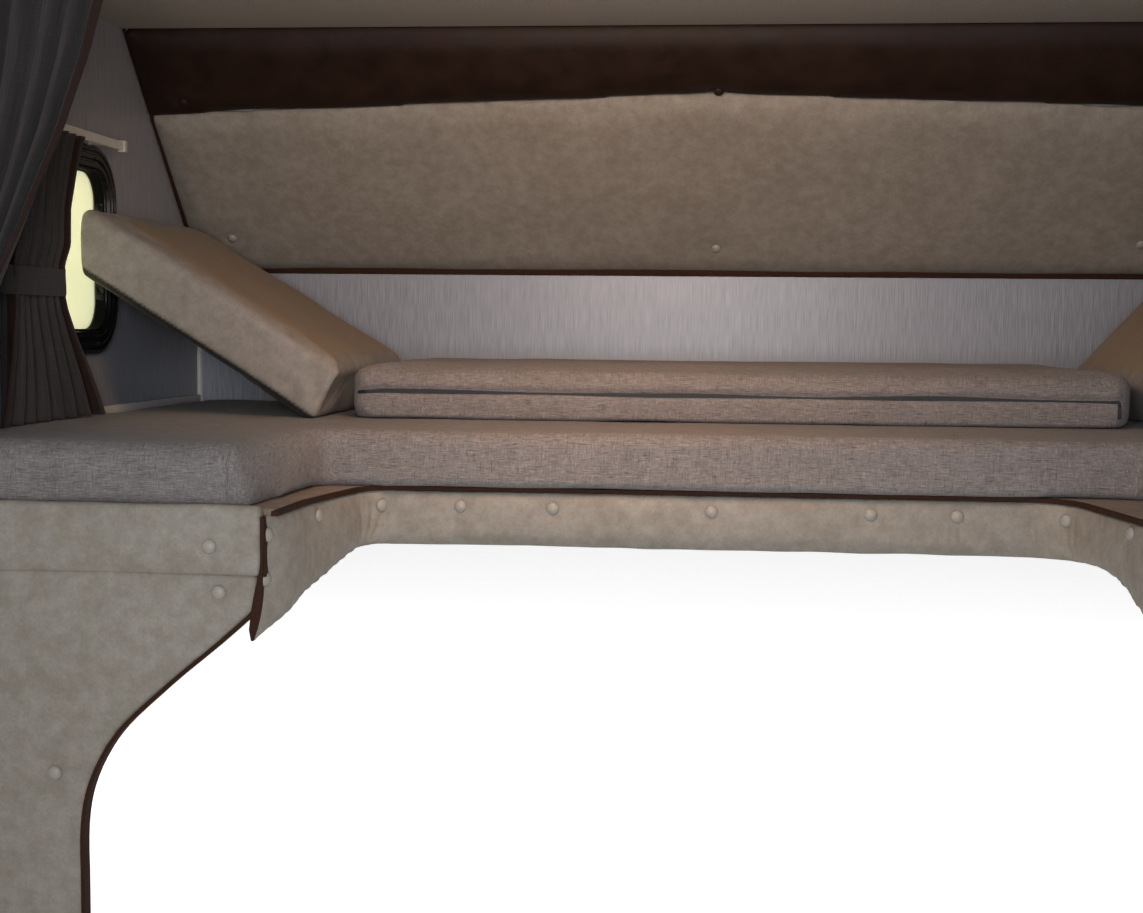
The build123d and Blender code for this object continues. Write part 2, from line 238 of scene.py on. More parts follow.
def tweed_cloth(name):
    """Woven slub tweed: thick and thin threads in three directions."""
    material, tree, shader, place = begin(name)
    c = colours()
    # threads are 1 mm apart; drawn at 2 to 3 mm so that they show
    along, across = (
        add(tree, "TexNoise", {
            "Vector": add(tree, "Mapping", {
                "Vector": place, "Scale": [per_mm(size) for size in thread]}),
            "Scale": 1.0, "Detail": 3.0, "Roughness": 0.6})
        for thread in ((17, 2.4, 1.9), (2.1, 17, 14)))
    fine = add(tree, "TexNoise", {
        "Vector": place, "Scale": per_mm(1.8), "Detail": 2.0, "Roughness": 0.5})
    patch = add(tree, "TexNoise", {
        "Vector": place, "Scale": per_mm(60), "Detail": 3.0, "Roughness": 0.55})
    dark = add(tree, "Math", {
        0: add(tree, "MapRange", {
            "Value": along, "From Min": 0.52, "From Max": 0.72, "To Max": 0.8}),
        1: add(tree, "MapRange", {
            "Value": across, "From Min": 0.54, "From Max": 0.74, "To Max": 0.75}),
    }, operation="MAXIMUM")
    light = add(tree, "Math", {
        0: add(tree, "MapRange", {"Value": along, "From Min": 0.45, "From Max": 0.28}),
        1: add(tree, "MapRange", {"Value": across, "From Min": 0.42, "From Max": 0.28}),
    }, operation="MAXIMUM")
    pale = add(tree, "MapRange", {
        "Value": patch, "From Min": 0.3, "From Max": 0.7, "To Max": 0.25})
    tone = rgba(c.tweed)
    for share, colour in ((pale, c.tweed_light), (light, c.tweed_light), (dark, c.tweed_dark)):
        tone = add(tree, "Mix", {0: share, 6: tone, 7: rgba(colour)}, data_type="RGBA")
    tone = add(tree, "VectorMath", {
        0: tone, "Scale": add(tree, "MapRange", {
            "Value": fine, "From Min": 0.3, "From Max": 0.7, "To Min": 0.84, "To Max": 1.12}),
    }, operation="SCALE")
    weave = add(tree, "Math", {0: along, 1: across}, operation="SUBTRACT")
    feed(tree, shader, {
        "Base Color": tone, "Roughness": 0.92, "Specular IOR Level": 0.12,
        "Sheen Weight": 0.1, "Sheen Roughness": 0.6,
        "Normal": add(tree, "Bump", {"Height": weave, "Distance": 0.001, "Strength": 0.6})})
    return material


def streaked_paper(name):
    """Vinyl-faced wallpaper printed with fine upright streaks, with a dull shine."""
    material, tree, shader, place = begin(name)
    # streaks are 1 to 2 mm wide; drawn at 2 and 9 mm so that they show
    fine, wide = (
        add(tree, "TexNoise", {
            "Vector": add(tree, "Mapping", {
                "Vector": place, "Scale": [per_mm(size) for size in streak]}),
            "Scale": 1.0, "Detail": detail, "Roughness": rough})
        for streak, detail, rough in (((2.0, 2.0, 60), 2.0, 0.5), ((9, 9, 400), 3.0, 0.6)))
    share = add(tree, "Math", {
        0: add(tree, "MapRange", {
            "Value": fine, "From Min": 0.36, "From Max": 0.66, "To Max": 0.85}),
        1: add(tree, "MapRange", {
            "Value": wide, "From Min": 0.4, "From Max": 0.7, "To Max": 0.2}),
    }, operation="ADD")
    tone = add(tree, "Mix", {
        0: share, 6: rgba(colours().wallpaper), 7: rgba(colours().wallpaper_dark),
    }, data_type="RGBA")
    feed(tree, shader, {
        "Base Color": tone, "Roughness": 0.34, "Specular IOR Level": 0.5,
        "Normal": add(tree, "Bump", {"Height": fine, "Distance": 0.0005, "Strength": 0.5})})
    return material


def linen_cloth(name, colour, dark):
    """Plain-woven, linen-look polyester: threads along and across the cut."""
    material, tree, shader, place = begin(name, "UV")
    # 0.6 mm threads, drawn at 2.5 mm so that they show
    warp, weft = (
        add(tree, "TexNoise", {
            "Vector": add(tree, "Mapping", {
                "Vector": place, "Scale": [per_mm(size) for size in thread]}),
            "Scale": 1.0, "Detail": 2.0, "Roughness": 0.55})
        for thread in ((2.5, 90, 1000), (70, 2.5, 1000)))
    share = add(tree, "Math", {
        0: add(tree, "MapRange", {"Value": warp, "From Min": 0.3, "From Max": 0.7}),
        1: add(tree, "MapRange", {
            "Value": weft, "From Min": 0.3, "From Max": 0.7, "To Min": 0.5, "To Max": 1.4}),
    }, operation="MULTIPLY")
    tone = add(tree, "Mix", {0: share, 6: rgba(dark), 7: rgba(colour)}, data_type="RGBA")
    feed(tree, shader, {
        "Base Color": tone, "Roughness": 0.9, "Specular IOR Level": 0.15, "Sheen Weight": 0.1,
        "Normal": add(tree, "Bump", {"Height": share, "Distance": 0.0006, "Strength": 0.5})})
    return material


def shiny_shell(name):
    """Polyester gelcoat over fibreglass: white and glossy, faintly wavy, dull where dusty."""
    material, tree, shader, place = begin(name)
    wave = add(tree, "TexNoise", {
        "Vector": place, "Scale": per_mm(380), "Detail": 2.0, "Roughness": 0.55})
    dust = add(tree, "TexNoise", {
        "Vector": add(tree, "Mapping", {
            "Vector": place, "Scale": [per_mm(size) for size in (40, 40, 220)]}),
        "Scale": 1.0, "Detail": 6.0, "Roughness": 0.6})
    base = colours().gelcoat
    dim = [c * 0.86 for c in base]
    tone = add(tree, "Mix", {
        0: add(tree, "MapRange", {
            "Value": dust, "From Min": 0.45, "From Max": 0.8, "To Max": 0.6}),
        6: rgba(base), 7: rgba(dim)}, data_type="RGBA")
    feed(tree, shader, {
        "Base Color": tone, "Specular IOR Level": 0.5,
        "Roughness": add(tree, "MapRange", {
            "Value": dust, "From Min": 0.35, "From Max": 0.75, "To Min": 0.22, "To Max": 0.48}),
        "Normal": add(tree, "Bump", {"Height": wave, "Distance": 0.004, "Strength": 0.35})})
    return material


def glass_with_painted_daylight(name):
    """Window glass with a milky, yellowish film; it glows by its own emission, painted daylight
    that makes the pane evenly pale and bright though it is no lamp.
    """
    material, tree, shader, place = begin(name)
    streak = add(tree, "TexNoise", {
        "Vector": add(tree, "Mapping", {
            "Vector": place, "Scale": [per_mm(size) for size in (30, 9, 300)]}),
        "Scale": 1.0, "Detail": 3.0, "Roughness": 0.55})
    feed(tree, shader, {
        "Base Color": rgba(colours().glass), "Transmission Weight": 0.3, "IOR": 1.45,
        # painted daylight: a pale yellow emission makes the pane glow evenly
        "Emission Color": rgba(linear("F4F6D0")), "Emission Strength": 0.42,
        "Roughness": add(tree, "MapRange", {
            "Value": streak, "From Min": 0.3, "From Max": 0.7, "To Min": 0.3, "To Max": 0.4}),
        "Normal": add(tree, "Bump", {"Height": streak, "Distance": 0.0002, "Strength": 0.2})})
    return material


def plain_finish(name, code, rough, metal, grain_mm, depth, spread=0.12, fixed=()):
    """One base colour with a grain that varies its tone, its gloss and its surface."""
    material, tree, shader, place = begin(name)
    if isinstance(grain_mm, tuple):
        place = add(tree, "Mapping", {
            "Vector": place, "Scale": [per_mm(size) for size in grain_mm]})
        scale = 1.0
    else:
        scale = per_mm(grain_mm)
    grain = add(tree, "TexNoise", {
        "Vector": place, "Scale": scale, "Detail": 4.0, "Roughness": 0.55})
    base = linear(code)
    dim = [c * (1 - spread * 2) for c in base]
    tone = add(tree, "Mix", {
        0: add(tree, "MapRange", {"Value": grain, "From Min": 0.3, "From Max": 0.72}),
        6: rgba(dim), 7: rgba(base)}, data_type="RGBA")
    feed(tree, shader, {
        "Base Color": tone, "Metallic": metal,
        "Roughness": add(tree, "MapRange", {
            "Value": grain, "From Min": 0.3, "From Max": 0.7, "To Min": rough * 1.2,
            "To Max": rough * 0.85}),
        "Normal": add(tree, "Bump", {"Height": grain, "Distance": depth, "Strength": 0.5}),
        **dict(fixed)})
    return material


# plain finishes: colour, roughness, metal, grain in mm, its depth in metres, how far the
# colour spreads, and what else the shader gets
PLAIN = {
    # the pads' vinyl, stretched over a button until it shines, and drawn lighter: painted light
    # for the domes that catch more of it
    "button vinyl": ("A59E93", 0.45, 0, 9, 0.0003, 0.06),
    # folded welt strip, dull where it is stretched
    "welt vinyl brown": ("3B2519", 0.72, 0, 3, 0.0004, 0.15, {"Specular IOR Level": 0.12}),
    # vacuum-formed ceiling board, faintly pebbled
    "ceiling vinyl": ("B9B3AA", 0.6, 0, 5, 0.0006),
    # injection-moulded and glossy, nearly without grain
    "black ABS": ("141414", 0.24, 0, 20, 0.0001),
    # extruded seal, dull and faintly pitted
    "black rubber": ("0D0D0D", 0.85, 0, 4, 0.0003, 0.15, {"Specular IOR Level": 0.08}),
    # extruded and anodised, brushed along its length
    "anodised aluminium": ("BFC1C2", 0.34, 1.0, (60, 60, 2.5), 0.0001),
    # stoved on, even and half glossy
    "white enamel": ("D8D4CC", 0.4, 0, 30, 0.0001, 0.05),
    # plated sheet, faintly spangled and cloudy
    "zinc-plated steel": ("9FA3A4", 0.42, 1.0, 9, 0.0001, 0.16),
    # baked powder, an orange peel of about 2 mm
    "powder-coated steel": ("4A4C4E", 0.5, 0, 2.2, 0.0004, 0.1),
    # rotary-cut veneer, its grain drawn out sideways
    "plywood": ("B5936A", 0.62, 0, (180, 9, 9), 0.0005),
    # woven underbody sheet, its threads drawn at 3 mm so that they show
    "underside sheet": ("2B2C2E", 0.55, 0, 3, 0.0006, 0.18),
    # injection-moulded acrylic, clear coated, with faint flow lines
    "amber lens": ("D9780F", 0.18, 0, 12, 0.0003, 0.1, {"Coat Weight": 0.5}),
    # woven tape and moulded teeth, drawn at 2.5 mm so that they show
    "zip black": ("0C0B0B", 0.6, 0, 2.5, 0.0006, 0.2),
}
# the other finishes
WOVEN_AND_COATED = {
    "suede vinyl beige": lambda n: suede_vinyl(n, colours().beige, colours().beige_dark)[0],
    "suede vinyl tan": lambda n: suede_vinyl(n, linear("8F7B68"), linear("7C6A58"))[0],
    "suede vinyl seat": panelled_vinyl,
    "leather-look vinyl brown": brown_vinyl,
    "slub tweed": tweed_cloth,
    "streaked wallpaper": streaked_paper,
    "curtain linen": lambda n: linen_cloth(n, colours().curtain, colours().curtain_dark),
    "tie linen": lambda n: linen_cloth(n, linear("3E3B39"), linear("302D2B")),
    "curtain edge brown": lambda n: linen_cloth(n, linear("33231D"), linear("251914")),
    "gelcoat white": shiny_shell,
    "window glass": glass_with_painted_daylight,
}
MADE = {}


def finish(name):
    """The material of that name, made once."""
    if name not in MADE:
        title = name.replace(" ", "_")
        MADE[name] = (plain_finish(title, *PLAIN[name]) if name in PLAIN
                      else WOVEN_AND_COATED[name](title))
    return MADE[name]


def dress(piece, *names):
    """Give a piece or a CAD node its materials."""
    piece.data.materials.clear()
    for name in names:
        piece.data.materials.append(finish(name))


def dress_nodes(name, *nodes):
    """Give several CAD nodes one material."""
    for node in nodes:
        dress(NODES[node], name)


def sided(*names):
    """The left and right nodes of each name."""
    return [f"{name}_{side}" for name in names for side in ("left", "right")]


# Ways of working

def deselect():
    """Let go of everything, before a primitive is added."""
    bpy.ops.object.select_all(action="DESELECT")


def pick(piece):
    """Select one piece alone."""
    deselect()
    piece.select_set(True)
    bpy.context.view_layer.objects.active = piece


def named(name):
    """Name the primitive just added and put its place into its mesh."""
    piece = bpy.context.object
    piece.name = name
    piece.data.name = name
    pick(piece)
    bpy.ops.object.transform_apply(location=True, rotation=True, scale=True)
    return piece


def block(name, low, high):
    """A cube primitive that spans two corners."""
    low, high = Vector(low), Vector(high)
    deselect()
    bpy.ops.mesh.primitive_cube_add(size=1, location=(low + high) / 2, scale=high - low)
    return named(name)


def plane(name, middle, turn, wide, tall):
    """A plane primitive at its size, turned to face its way."""
    deselect()
    bpy.ops.mesh.primitive_plane_add(size=1, location=middle, rotation=turn)
    bpy.context.object.scale = (wide, tall, 1)
    return named(name)


def choose(piece, kind, test=None):
    """In edit mode, select the faces, edges or vertices whose middle passes a test, or all."""
    pick(piece)
    bpy.ops.object.mode_set(mode="EDIT")
    bpy.ops.mesh.select_mode(type={"faces": "FACE", "edges": "EDGE", "verts": "VERT"}[kind])
    bpy.ops.mesh.select_all(action="DESELECT")
    mesh = bmesh.from_edit_mesh(piece.data)
    for part in getattr(mesh, kind):
        if kind == "verts":
            middle, facing = part.co, part.normal
        elif kind == "edges":
            middle, facing = (part.verts[0].co + part.verts[1].co) / 2, part.verts[0].normal
        else:
            middle, facing = part.calc_center_median(), part.normal
        if test is None or test(middle, facing):
            part.select_set(True)
    mesh.select_flush_mode()
    bmesh.update_edit_mesh(piece.data)


def leave():
    """Back to object mode."""
    bpy.ops.object.mode_set(mode="OBJECT")


def extrude(*move):
    """Extrude what is chosen and move it."""
    bpy.ops.mesh.extrude_region_move(TRANSFORM_OT_translate={"value": move})


def bevel_at(piece, kind, test, offset, segments):
    """Round chosen edges, or the corners at chosen vertices."""
    choose(piece, kind, test)
    bpy.ops.mesh.bevel(offset=offset, segments=segments,
                       affect="VERTICES" if kind == "verts" else "EDGES")
    leave()


def delete_at(piece, kind, test, what):
    """Delete chosen faces or edges."""
    choose(piece, kind, test)
    bpy.ops.mesh.delete(type=what)
    leave()


def use(piece, kind, **settings):
    """Add a modifier with its settings and apply it."""
    pick(piece)
    made = piece.modifiers.new(kind.lower(), kind)
    for name, value in settings.items():
        setattr(made, name, value)
    bpy.ops.object.modifier_apply(modifier=made.name)


def shade(degrees=35):
    """Shade the picked piece smooth, but for its edges above an angle."""
    bpy.ops.object.shade_smooth_by_angle(angle=math.radians(degrees))


def round_edges(piece, width, segments=2, degrees=35):
    """Soften the edges of a hard piece and shade it."""
    use(piece, "BEVEL", width=width, segments=segments, limit_method="ANGLE")
    shade(degrees)


def outward(piece):
    """Merge doubles, then turn the faces outwards."""
    pick(piece)
    bpy.ops.object.mode_set(mode="EDIT")
    bpy.ops.mesh.select_all(action="SELECT")
    bpy.ops.mesh.remove_doubles(threshold=0.0001)
    bpy.ops.mesh.normals_make_consistent(inside=False)
    leave()


def mount(piece, material, slot=None, body="bunk", stands_for=()):
    """Give a finished piece its material and let it ride; the slot is not used."""
    dress(piece, material)
    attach(piece, body)
    if stands_for:
        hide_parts(*stands_for)


def again(piece, name, place):
    """A copy with its own mesh, moved by a matrix."""
    made = piece.copy()
    made.data = piece.data.copy()
    made.name = name
    made.data.name = name
    made.data.transform(place)
    bpy.context.scene.collection.objects.link(made)
    if place.determinant() < 0:
        outward(made)
    return made


def mirrored(piece, name):
    """The same piece on the other side."""
    return again(piece, name, Matrix.Scale(-1, 4, (1, 0, 0)))


def mount_pair(piece, material, slot, node=None):
    """Mount a piece of the right side and its mirror image, and give the image back."""
    other = mirrored(piece, piece.name.replace("right", "left"))
    for made, side in ((piece, "right"), (other, "left")):
        mount(made, material, slot, stands_for=[f"{node}_{side}"] if node else ())
    return other


def join(name, pieces):
    """Several like pieces made one."""
    deselect()
    for piece in pieces:
        piece.select_set(True)
    bpy.context.view_layer.objects.active = pieces[0]
    bpy.ops.object.join()
    made = bpy.context.object
    made.name = name
    made.data.name = name
    return made


def points_of(piece):
    """The vertices of a piece as an array."""
    co = numpy.empty(len(piece.data.vertices) * 3)
    piece.data.vertices.foreach_get("co", co)
    return co.reshape(-1, 3)


def normals_of(piece):
    """The vertex normals of a piece as an array."""
    co = numpy.empty(len(piece.data.vertices) * 3)
    piece.data.vertices.foreach_get("normal", co)
    return co.reshape(-1, 3)


def set_points(piece, co):
    """Move the vertices of a piece."""
    piece.data.vertices.foreach_set("co", co.ravel())
    piece.data.update()


def put(name, data):
    """An object of its own for new data, picked."""
    piece = bpy.data.objects.new(name, data)
    bpy.context.scene.collection.objects.link(piece)
    pick(piece)
    return piece


def soft_copy(node, name, voxel, relax):
    """A CAD solid's mesh, joined up and remeshed as cloth to be shaped."""
    mesh = NODES[node].data.copy()
    mesh.name = name
    piece = put(name, mesh)
    bpy.ops.object.mode_set(mode="EDIT")
    bpy.ops.mesh.select_all(action="SELECT")
    bpy.ops.mesh.remove_doubles(threshold=0.0002)
    leave()
    use(piece, "REMESH", mode="VOXEL", voxel_size=voxel)
    use(piece, "SMOOTH", factor=0.5, iterations=4)
    # smoothing draws the cloth in, so it is let out again onto the solid
    use(piece, "SHRINKWRAP", target=NODES[node], wrap_method="NEAREST_SURFACEPOINT")
    use(piece, "SMOOTH", factor=0.5, iterations=relax)
    return piece


SWELL_FRAMES = 20


def swell(piece, most, held):
    """Blow a pad up as sewn cloth, with its held points fixed, and cap the swelling."""
    start = points_of(piece)
    facing = normals_of(piece)
    group = piece.vertex_groups.new(name="held")
    fixed = [i for i in range(len(start)) if held(Vector(start[i]), Vector(facing[i]))]
    group.add(fixed, 1.0, "REPLACE")
    pick(piece)
    cloth = piece.modifiers.new("cloth", "CLOTH")
    cloth.settings.quality = 3
    cloth.settings.mass = 0.3
    cloth.settings.use_pressure = True
    cloth.settings.uniform_pressure_force = 4.0
    cloth.settings.effector_weights.gravity = 0
    cloth.settings.vertex_group_mass = "held"
    cloth.collision_settings.use_collision = False
    cloth.point_cache.frame_start = 1
    cloth.point_cache.frame_end = SWELL_FRAMES
    for step in range(1, SWELL_FRAMES + 1):
        bpy.context.scene.frame_set(step)
    bpy.ops.object.modifier_apply(modifier=cloth.name)
    piece.vertex_groups.clear()
    bpy.context.scene.frame_set(1)
    move = points_of(piece) - start
    far = numpy.linalg.norm(move, axis=1) + 1e-9
    set_points(piece, start + move * (most * numpy.tanh(far / most) / far)[:, None])


def smooth_out(piece):
    """One subdivision and smooth shading."""
    use(piece, "SUBSURF", levels=1, render_levels=1)
    pick(piece)
    bpy.ops.object.shade_smooth()


FREE = math.inf     # a side that touches nothing


def keep_inside(piece, low, high):
    """Press a soft piece flat against what it touches."""
    set_points(piece, numpy.clip(points_of(piece), low, high))


def let_out(piece, distance, behind):
    """Let the rim of a wall pad out to meet its neighbours."""
    co, facing = points_of(piece), normals_of(piece)
    facing[:, 1] = 0
    co += facing * distance
    co[:, 1] = numpy.minimum(co[:, 1], behind)
    set_points(piece, co)


def wobble(piece, size, depth):
    """Uneven stuffing: low waves of that size and depth."""
    co, facing = points_of(piece), normals_of(piece)
    height = numpy.array([noise.noise(Vector(p) / size) for p in co])
    set_points(piece, co + facing * (height * depth)[:, None])


def press(piece, point, reach, depth, facing):
    """Draw the cover in round a point, deepest at the point."""
    co = points_of(piece)
    far = numpy.linalg.norm(co - numpy.array(point), axis=1)
    set_points(piece, co - numpy.outer(depth * numpy.exp(-far / reach), facing))


def fold(piece, start, end, width, depth, facing):
    """A crease between two points with its lips raised."""
    co = points_of(piece)
    a, b = numpy.array(start), numpy.array(end)
    share = numpy.clip(((co - a) @ (b - a)) / ((b - a) @ (b - a)), 0, 1)
    far = numpy.linalg.norm(co - a - numpy.outer(share, b - a), axis=1)
    taper = numpy.sin(numpy.pi * (0.12 + 0.76 * share))
    shape = numpy.exp(-(far / width) ** 2) - 0.6 * numpy.exp(-((far - 1.7 * width) / width) ** 2)
    set_points(piece, co - numpy.outer(depth * shape * taper, facing))


def touch(piece, origin, direction):
    """Where a ray meets a piece."""
    bpy.context.view_layer.update()
    hit, place, *_ = piece.ray_cast(Vector(origin), Vector(direction))
    if not hit:
        raise RuntimeError(f"nothing of {piece.name} lies at {tuple(origin)}")
    return place


def make_button():
    """A cloth-covered button: a sphere primitive flattened behind, with a rolled rim."""
    deselect()
    radius = sizes().button / 2
    bpy.ops.mesh.primitive_uv_sphere_add(segments=20, ring_count=12, radius=radius)
    piece = named("button")
    choose(piece, "verts", lambda p, n: p.z < -0.15 * radius)
    bpy.ops.transform.resize(value=(0.82, 0.82, 0.1), center_override=(0, 0, -0.15 * radius))
    leave()
    choose(piece, "verts", lambda p, n: p.z > -0.1 * radius)
    bpy.ops.transform.resize(value=(1, 1, 0.62), center_override=(0, 0, -0.1 * radius))
    leave()
    bpy.ops.object.shade_smooth()
    return piece


def make_screw(radius):
    """A pan-head screw: a cylinder primitive with a rounded rim and a driver's recess."""
    deselect()
    bpy.ops.mesh.primitive_cylinder_add(vertices=16, radius=radius, depth=radius * 0.7)
    piece = named("screw")
    choose(piece, "faces", lambda p, n: n.z > 0.9)
    bpy.ops.mesh.inset(thickness=radius * 0.55)
    extrude(0, 0, -radius * 0.3)
    leave()
    round_edges(piece, radius * 0.12)
    return piece


def tuft(piece, name, spots, facing, material, slot, reach=0.016):
    """Draw a pad in at each spot and sew a covered button there."""
    facing = Vector(facing).normalized()
    turn = facing.to_track_quat("Z", "Y").to_matrix().to_4x4()
    master = make_button()
    buttons = []
    for i, spot in enumerate(spots):
        seat = touch(piece, Vector(spot) + facing * 0.1, -facing)
        press(piece, seat, reach, sizes().dimple, facing)
        seat = seat - facing * (sizes().dimple * 0.5)
        buttons.append(again(master, f"{name}_{i}", Matrix.Translation(seat) @ turn))
    bpy.data.objects.remove(master)
    # the buttons get a lighter copy of the pads' vinyl: painted light on the domes
    mount(join(name, buttons), "button vinyl" if slot == "beige_vinyl" else material, slot)


def seam_line(name, spots, thick, material, slot):
    """A sewn seam that runs through points on a cover."""
    curve = bpy.data.curves.new(name, "CURVE")
    curve.dimensions = "3D"
    curve.bevel_depth = thick / 2
    curve.bevel_resolution = 2
    curve.use_fill_caps = True
    line = curve.splines.new("POLY")
    line.points.add(len(spots) - 1)
    for point, spot in zip(line.points, spots):
        point.co = (*spot, 1)
    put(name, curve)
    bpy.ops.object.convert(target="MESH")
    piece = bpy.context.object
    bpy.ops.object.shade_smooth()
    mount(piece, material, slot)


CAMERA_PLACE = (0, -3.19, 0.37)
CAMERA_TURN = (5.05, -4.59, 0.57)   # degrees to the left, upwards and about the line of sight
# name, place, aim, side in metres, watts, spread in degrees, colour
LIGHTS = (
    ("front softbox", (-0.1, -3.4, 0.5), (-0.2, 0.5, 0.38), 0.8, 16.5, 115, "F4F7FF"),
    ("ceiling lamp", (-0.2, -0.98, 0.935), (-0.1, 0.2, 0.32), 0.35, 6.0, 130, "FFCFA8"),
    ("left softbox", (-5.0, 1.5, 3.0), (0, 0, 0), 2.5, 160, 180, "FFFFFF"),
    ("right softbox", (5.0, 1.5, 3.0), (0, 0, 0), 2.5, 160, 180, "FFFFFF"),
)


class BUNK_OT_stage(bpy.types.Operator):
    """Set the floor, the soft lights, the white surroundings and the camera"""
    bl_idname = "bunk.stage"
    bl_label = "Stage"

    def execute(self, context):
        scene = context.scene
        scene.view_settings.view_transform = "Standard"
        self.floor()
        self.surroundings(scene)
        self.lights()
        bpy.ops.object.camera_add(location=CAMERA_PLACE)
        camera = bpy.context.object
        camera.data.sensor_width = 36
        camera.data.lens = 50.4
        yaw, pitch, roll = (math.radians(angle) for angle in CAMERA_TURN)
        turn = Matrix.Rotation(yaw, 4, "Z") @ Matrix.Rotation(pitch, 4, "X")
        turn = turn @ Matrix.Rotation(math.pi / 2, 4, "X") @ Matrix.Rotation(roll, 4, "Z")
        camera.matrix_world = Matrix.Translation(CAMERA_PLACE) @ turn
        scene.camera = camera
        return {"FINISHED"}

    def floor(self):
        """A plain floor that looks nearly white to the camera."""
        deselect()
        bpy.ops.mesh.primitive_plane_add(size=60, location=(0, 0, FLOOR - 0.001))
        floor = named("floor")
        material, tree, shader, _ = begin("stage_floor")
        seen = add(tree, "LightPath", {}).outputs["Is Camera Ray"]
        feed(tree, shader, {
            "Base Color": rgba(linear("EDEDEB")), "Roughness": 0.9,
            "Emission Color": (1, 1, 1, 1),
            "Emission Strength": add(tree, "Math", {0: seen, 1: 0.62}, operation="MULTIPLY")})
        floor.data.materials.append(material)

    def surroundings(self, scene):
        """A world that looks white, also in gloss and glass, and lights at a plain level."""
        world = bpy.data.worlds.new("surroundings")
        world.use_nodes = True
        scene.world = world
        tree = world.node_tree
        path = add(tree, "LightPath", {}).outputs
        seen = add(tree, "Math", {
            0: path["Is Camera Ray"], 1: path["Is Glossy Ray"]}, operation="ADD")
        seen = add(tree, "Math", {
            0: seen, 1: path["Is Transmission Ray"]}, operation="ADD", use_clamp=True)
        sky = add(tree, "Mix", {
            0: seen, 6: (0.20, 0.20, 0.205, 1), 7: (1, 1, 1, 1)}, data_type="RGBA")
        feed(tree, tree.nodes["Background"], {"Color": sky})

    def lights(self):
        """The soft lights, each aimed at a point."""
        for name, spot, aim, size, power, spread, code in LIGHTS:
            deselect()
            bpy.ops.object.light_add(type="AREA", location=spot)
            lamp = bpy.context.object
            lamp.name = name
            lamp.data.size = size
            lamp.data.energy = power
            lamp.data.spread = math.radians(spread)
            lamp.data.color = linear(code)
            lamp.rotation_euler = (Vector(aim) - Vector(spot)).to_track_quat("-Z", "Y").to_euler()


LAMP_BASE, LAMP_LENS = (0.052, 0.021), (0.044, 0.015)   # half sizes
LAMP_PLACES = (-0.96, -0.2, 0, 0.2, 0.96)
LAMP_HEIGHT = 0.86


def rounded_block(name, half, low, high, corner):
    """A block of half sizes along X and Y, with its upright corners rounded."""
    piece = block(name, (-half[0], -half[1], low), (half[0], half[1], high))
    bevel_at(piece, "edges", lambda p, n: (
        abs(abs(p.x) - half[0]) < 0.001 and abs(abs(p.y) - half[1]) < 0.001), corner, 5)
    return piece


class BUNK_OT_shell(bpy.types.Operator):
    """Finish the outer shell and fit its mouldings, drip rails and clearance lamps"""
    bl_idname = "bunk.shell"
    bl_label = "Body shell"

    def execute(self, context):
        dress_nodes("gelcoat white", "nose_cap", "roof_panel", *sided("wall"))
        dress_nodes("anodised aluminium", *sided("coach_flange"))
        dress_nodes("black ABS", *sided("window_frame"))
        dress_nodes("window glass", *sided("window_pane"))
        self.moulding()
        self.drip_rails()
        self.lamps()
        return {"FINISHED"}

    def moulding(self):
        """The strip that covers the joint of the nose cap with the walls and roof."""
        high = ROOF_TOP
        piece = plane("cap_moulding", (0, CAP_SEAM, high / 2), (math.pi / 2, 0, 0),
                      2 * SKIN, high)
        bevel_at(piece, "verts", lambda p, n: p.z > high / 2, 0.07, 8)
        delete_at(piece, "faces", None, "ONLY_FACE")
        delete_at(piece, "edges", lambda p, n: p.z < 0.01 and abs(p.x) < 0.01, "EDGE")
        choose(piece, "verts", lambda p, n: p.z < 0.01)
        bpy.ops.transform.translate(value=(0, 0, 0.012))
        leave()
        choose(piece, "edges")
        extrude(0, 0.028, 0)
        bpy.ops.mesh.select_all(action="SELECT")
        bpy.ops.transform.translate(value=(0, -0.014, 0))
        bpy.ops.mesh.normals_make_consistent(inside=False)
        leave()
        use(piece, "SOLIDIFY", thickness=0.005, offset=0)
        outward(piece)
        round_edges(piece, 0.0012)
        mount(piece, "anodised aluminium", "aluminium")

    def drip_rails(self):
        """A gutter along each side below the roof."""
        low = (SKIN - 0.001, REAR + 0.004, ROOF_TOP - 0.105)
        rail = block("drip_rail_right", low, (SKIN + 0.012, CAP_SEAM - 0.016, low[2] + 0.022))
        choose(rail, "faces", lambda p, n: n.z > 0.9)
        bpy.ops.mesh.inset(thickness=0.003)
        extrude(0, 0, -0.014)
        leave()
        round_edges(rail, 0.001)
        mount_pair(rail, "anodised aluminium", "aluminium")

    def lamps(self):
        """Five amber clearance lamps across the sloped nose."""
        across = SLOPE_SUM + SLOPE_PAD * ROOT2 + CAP_WALL * ROOT2   # Y + Z outside
        face = Vector((0, 1, 1)).normalized()
        turn = face.to_track_quat("Z", "Y").to_matrix().to_4x4()
        base = rounded_block("base", LAMP_BASE, -0.002, 0.008, 0.018)
        round_edges(base, 0.0015)
        lens = rounded_block("lens", LAMP_LENS, 0.004, 0.024, 0.013)
        choose(lens, "faces", lambda p, n: n.z > 0.9)
        bpy.ops.transform.resize(value=(0.86, 0.72, 1), center_override=(0, 0, 0.024))
        leave()
        round_edges(lens, 0.004, 3)
        bases, lenses = [], []
        for i, x in enumerate(LAMP_PLACES):
            place = Matrix.Translation((x, across - LAMP_HEIGHT, LAMP_HEIGHT)) @ turn
            bases.append(again(base, f"lamp_base_{i}", place))
            lenses.append(again(lens, f"lamp_lens_{i}", place))
        bpy.data.objects.remove(base)
        bpy.data.objects.remove(lens)
        mount(join("clearance_lamp_bases", bases), "black ABS", "black_frame")
        mount(join("clearance_lamp_lenses", lenses), "amber lens")


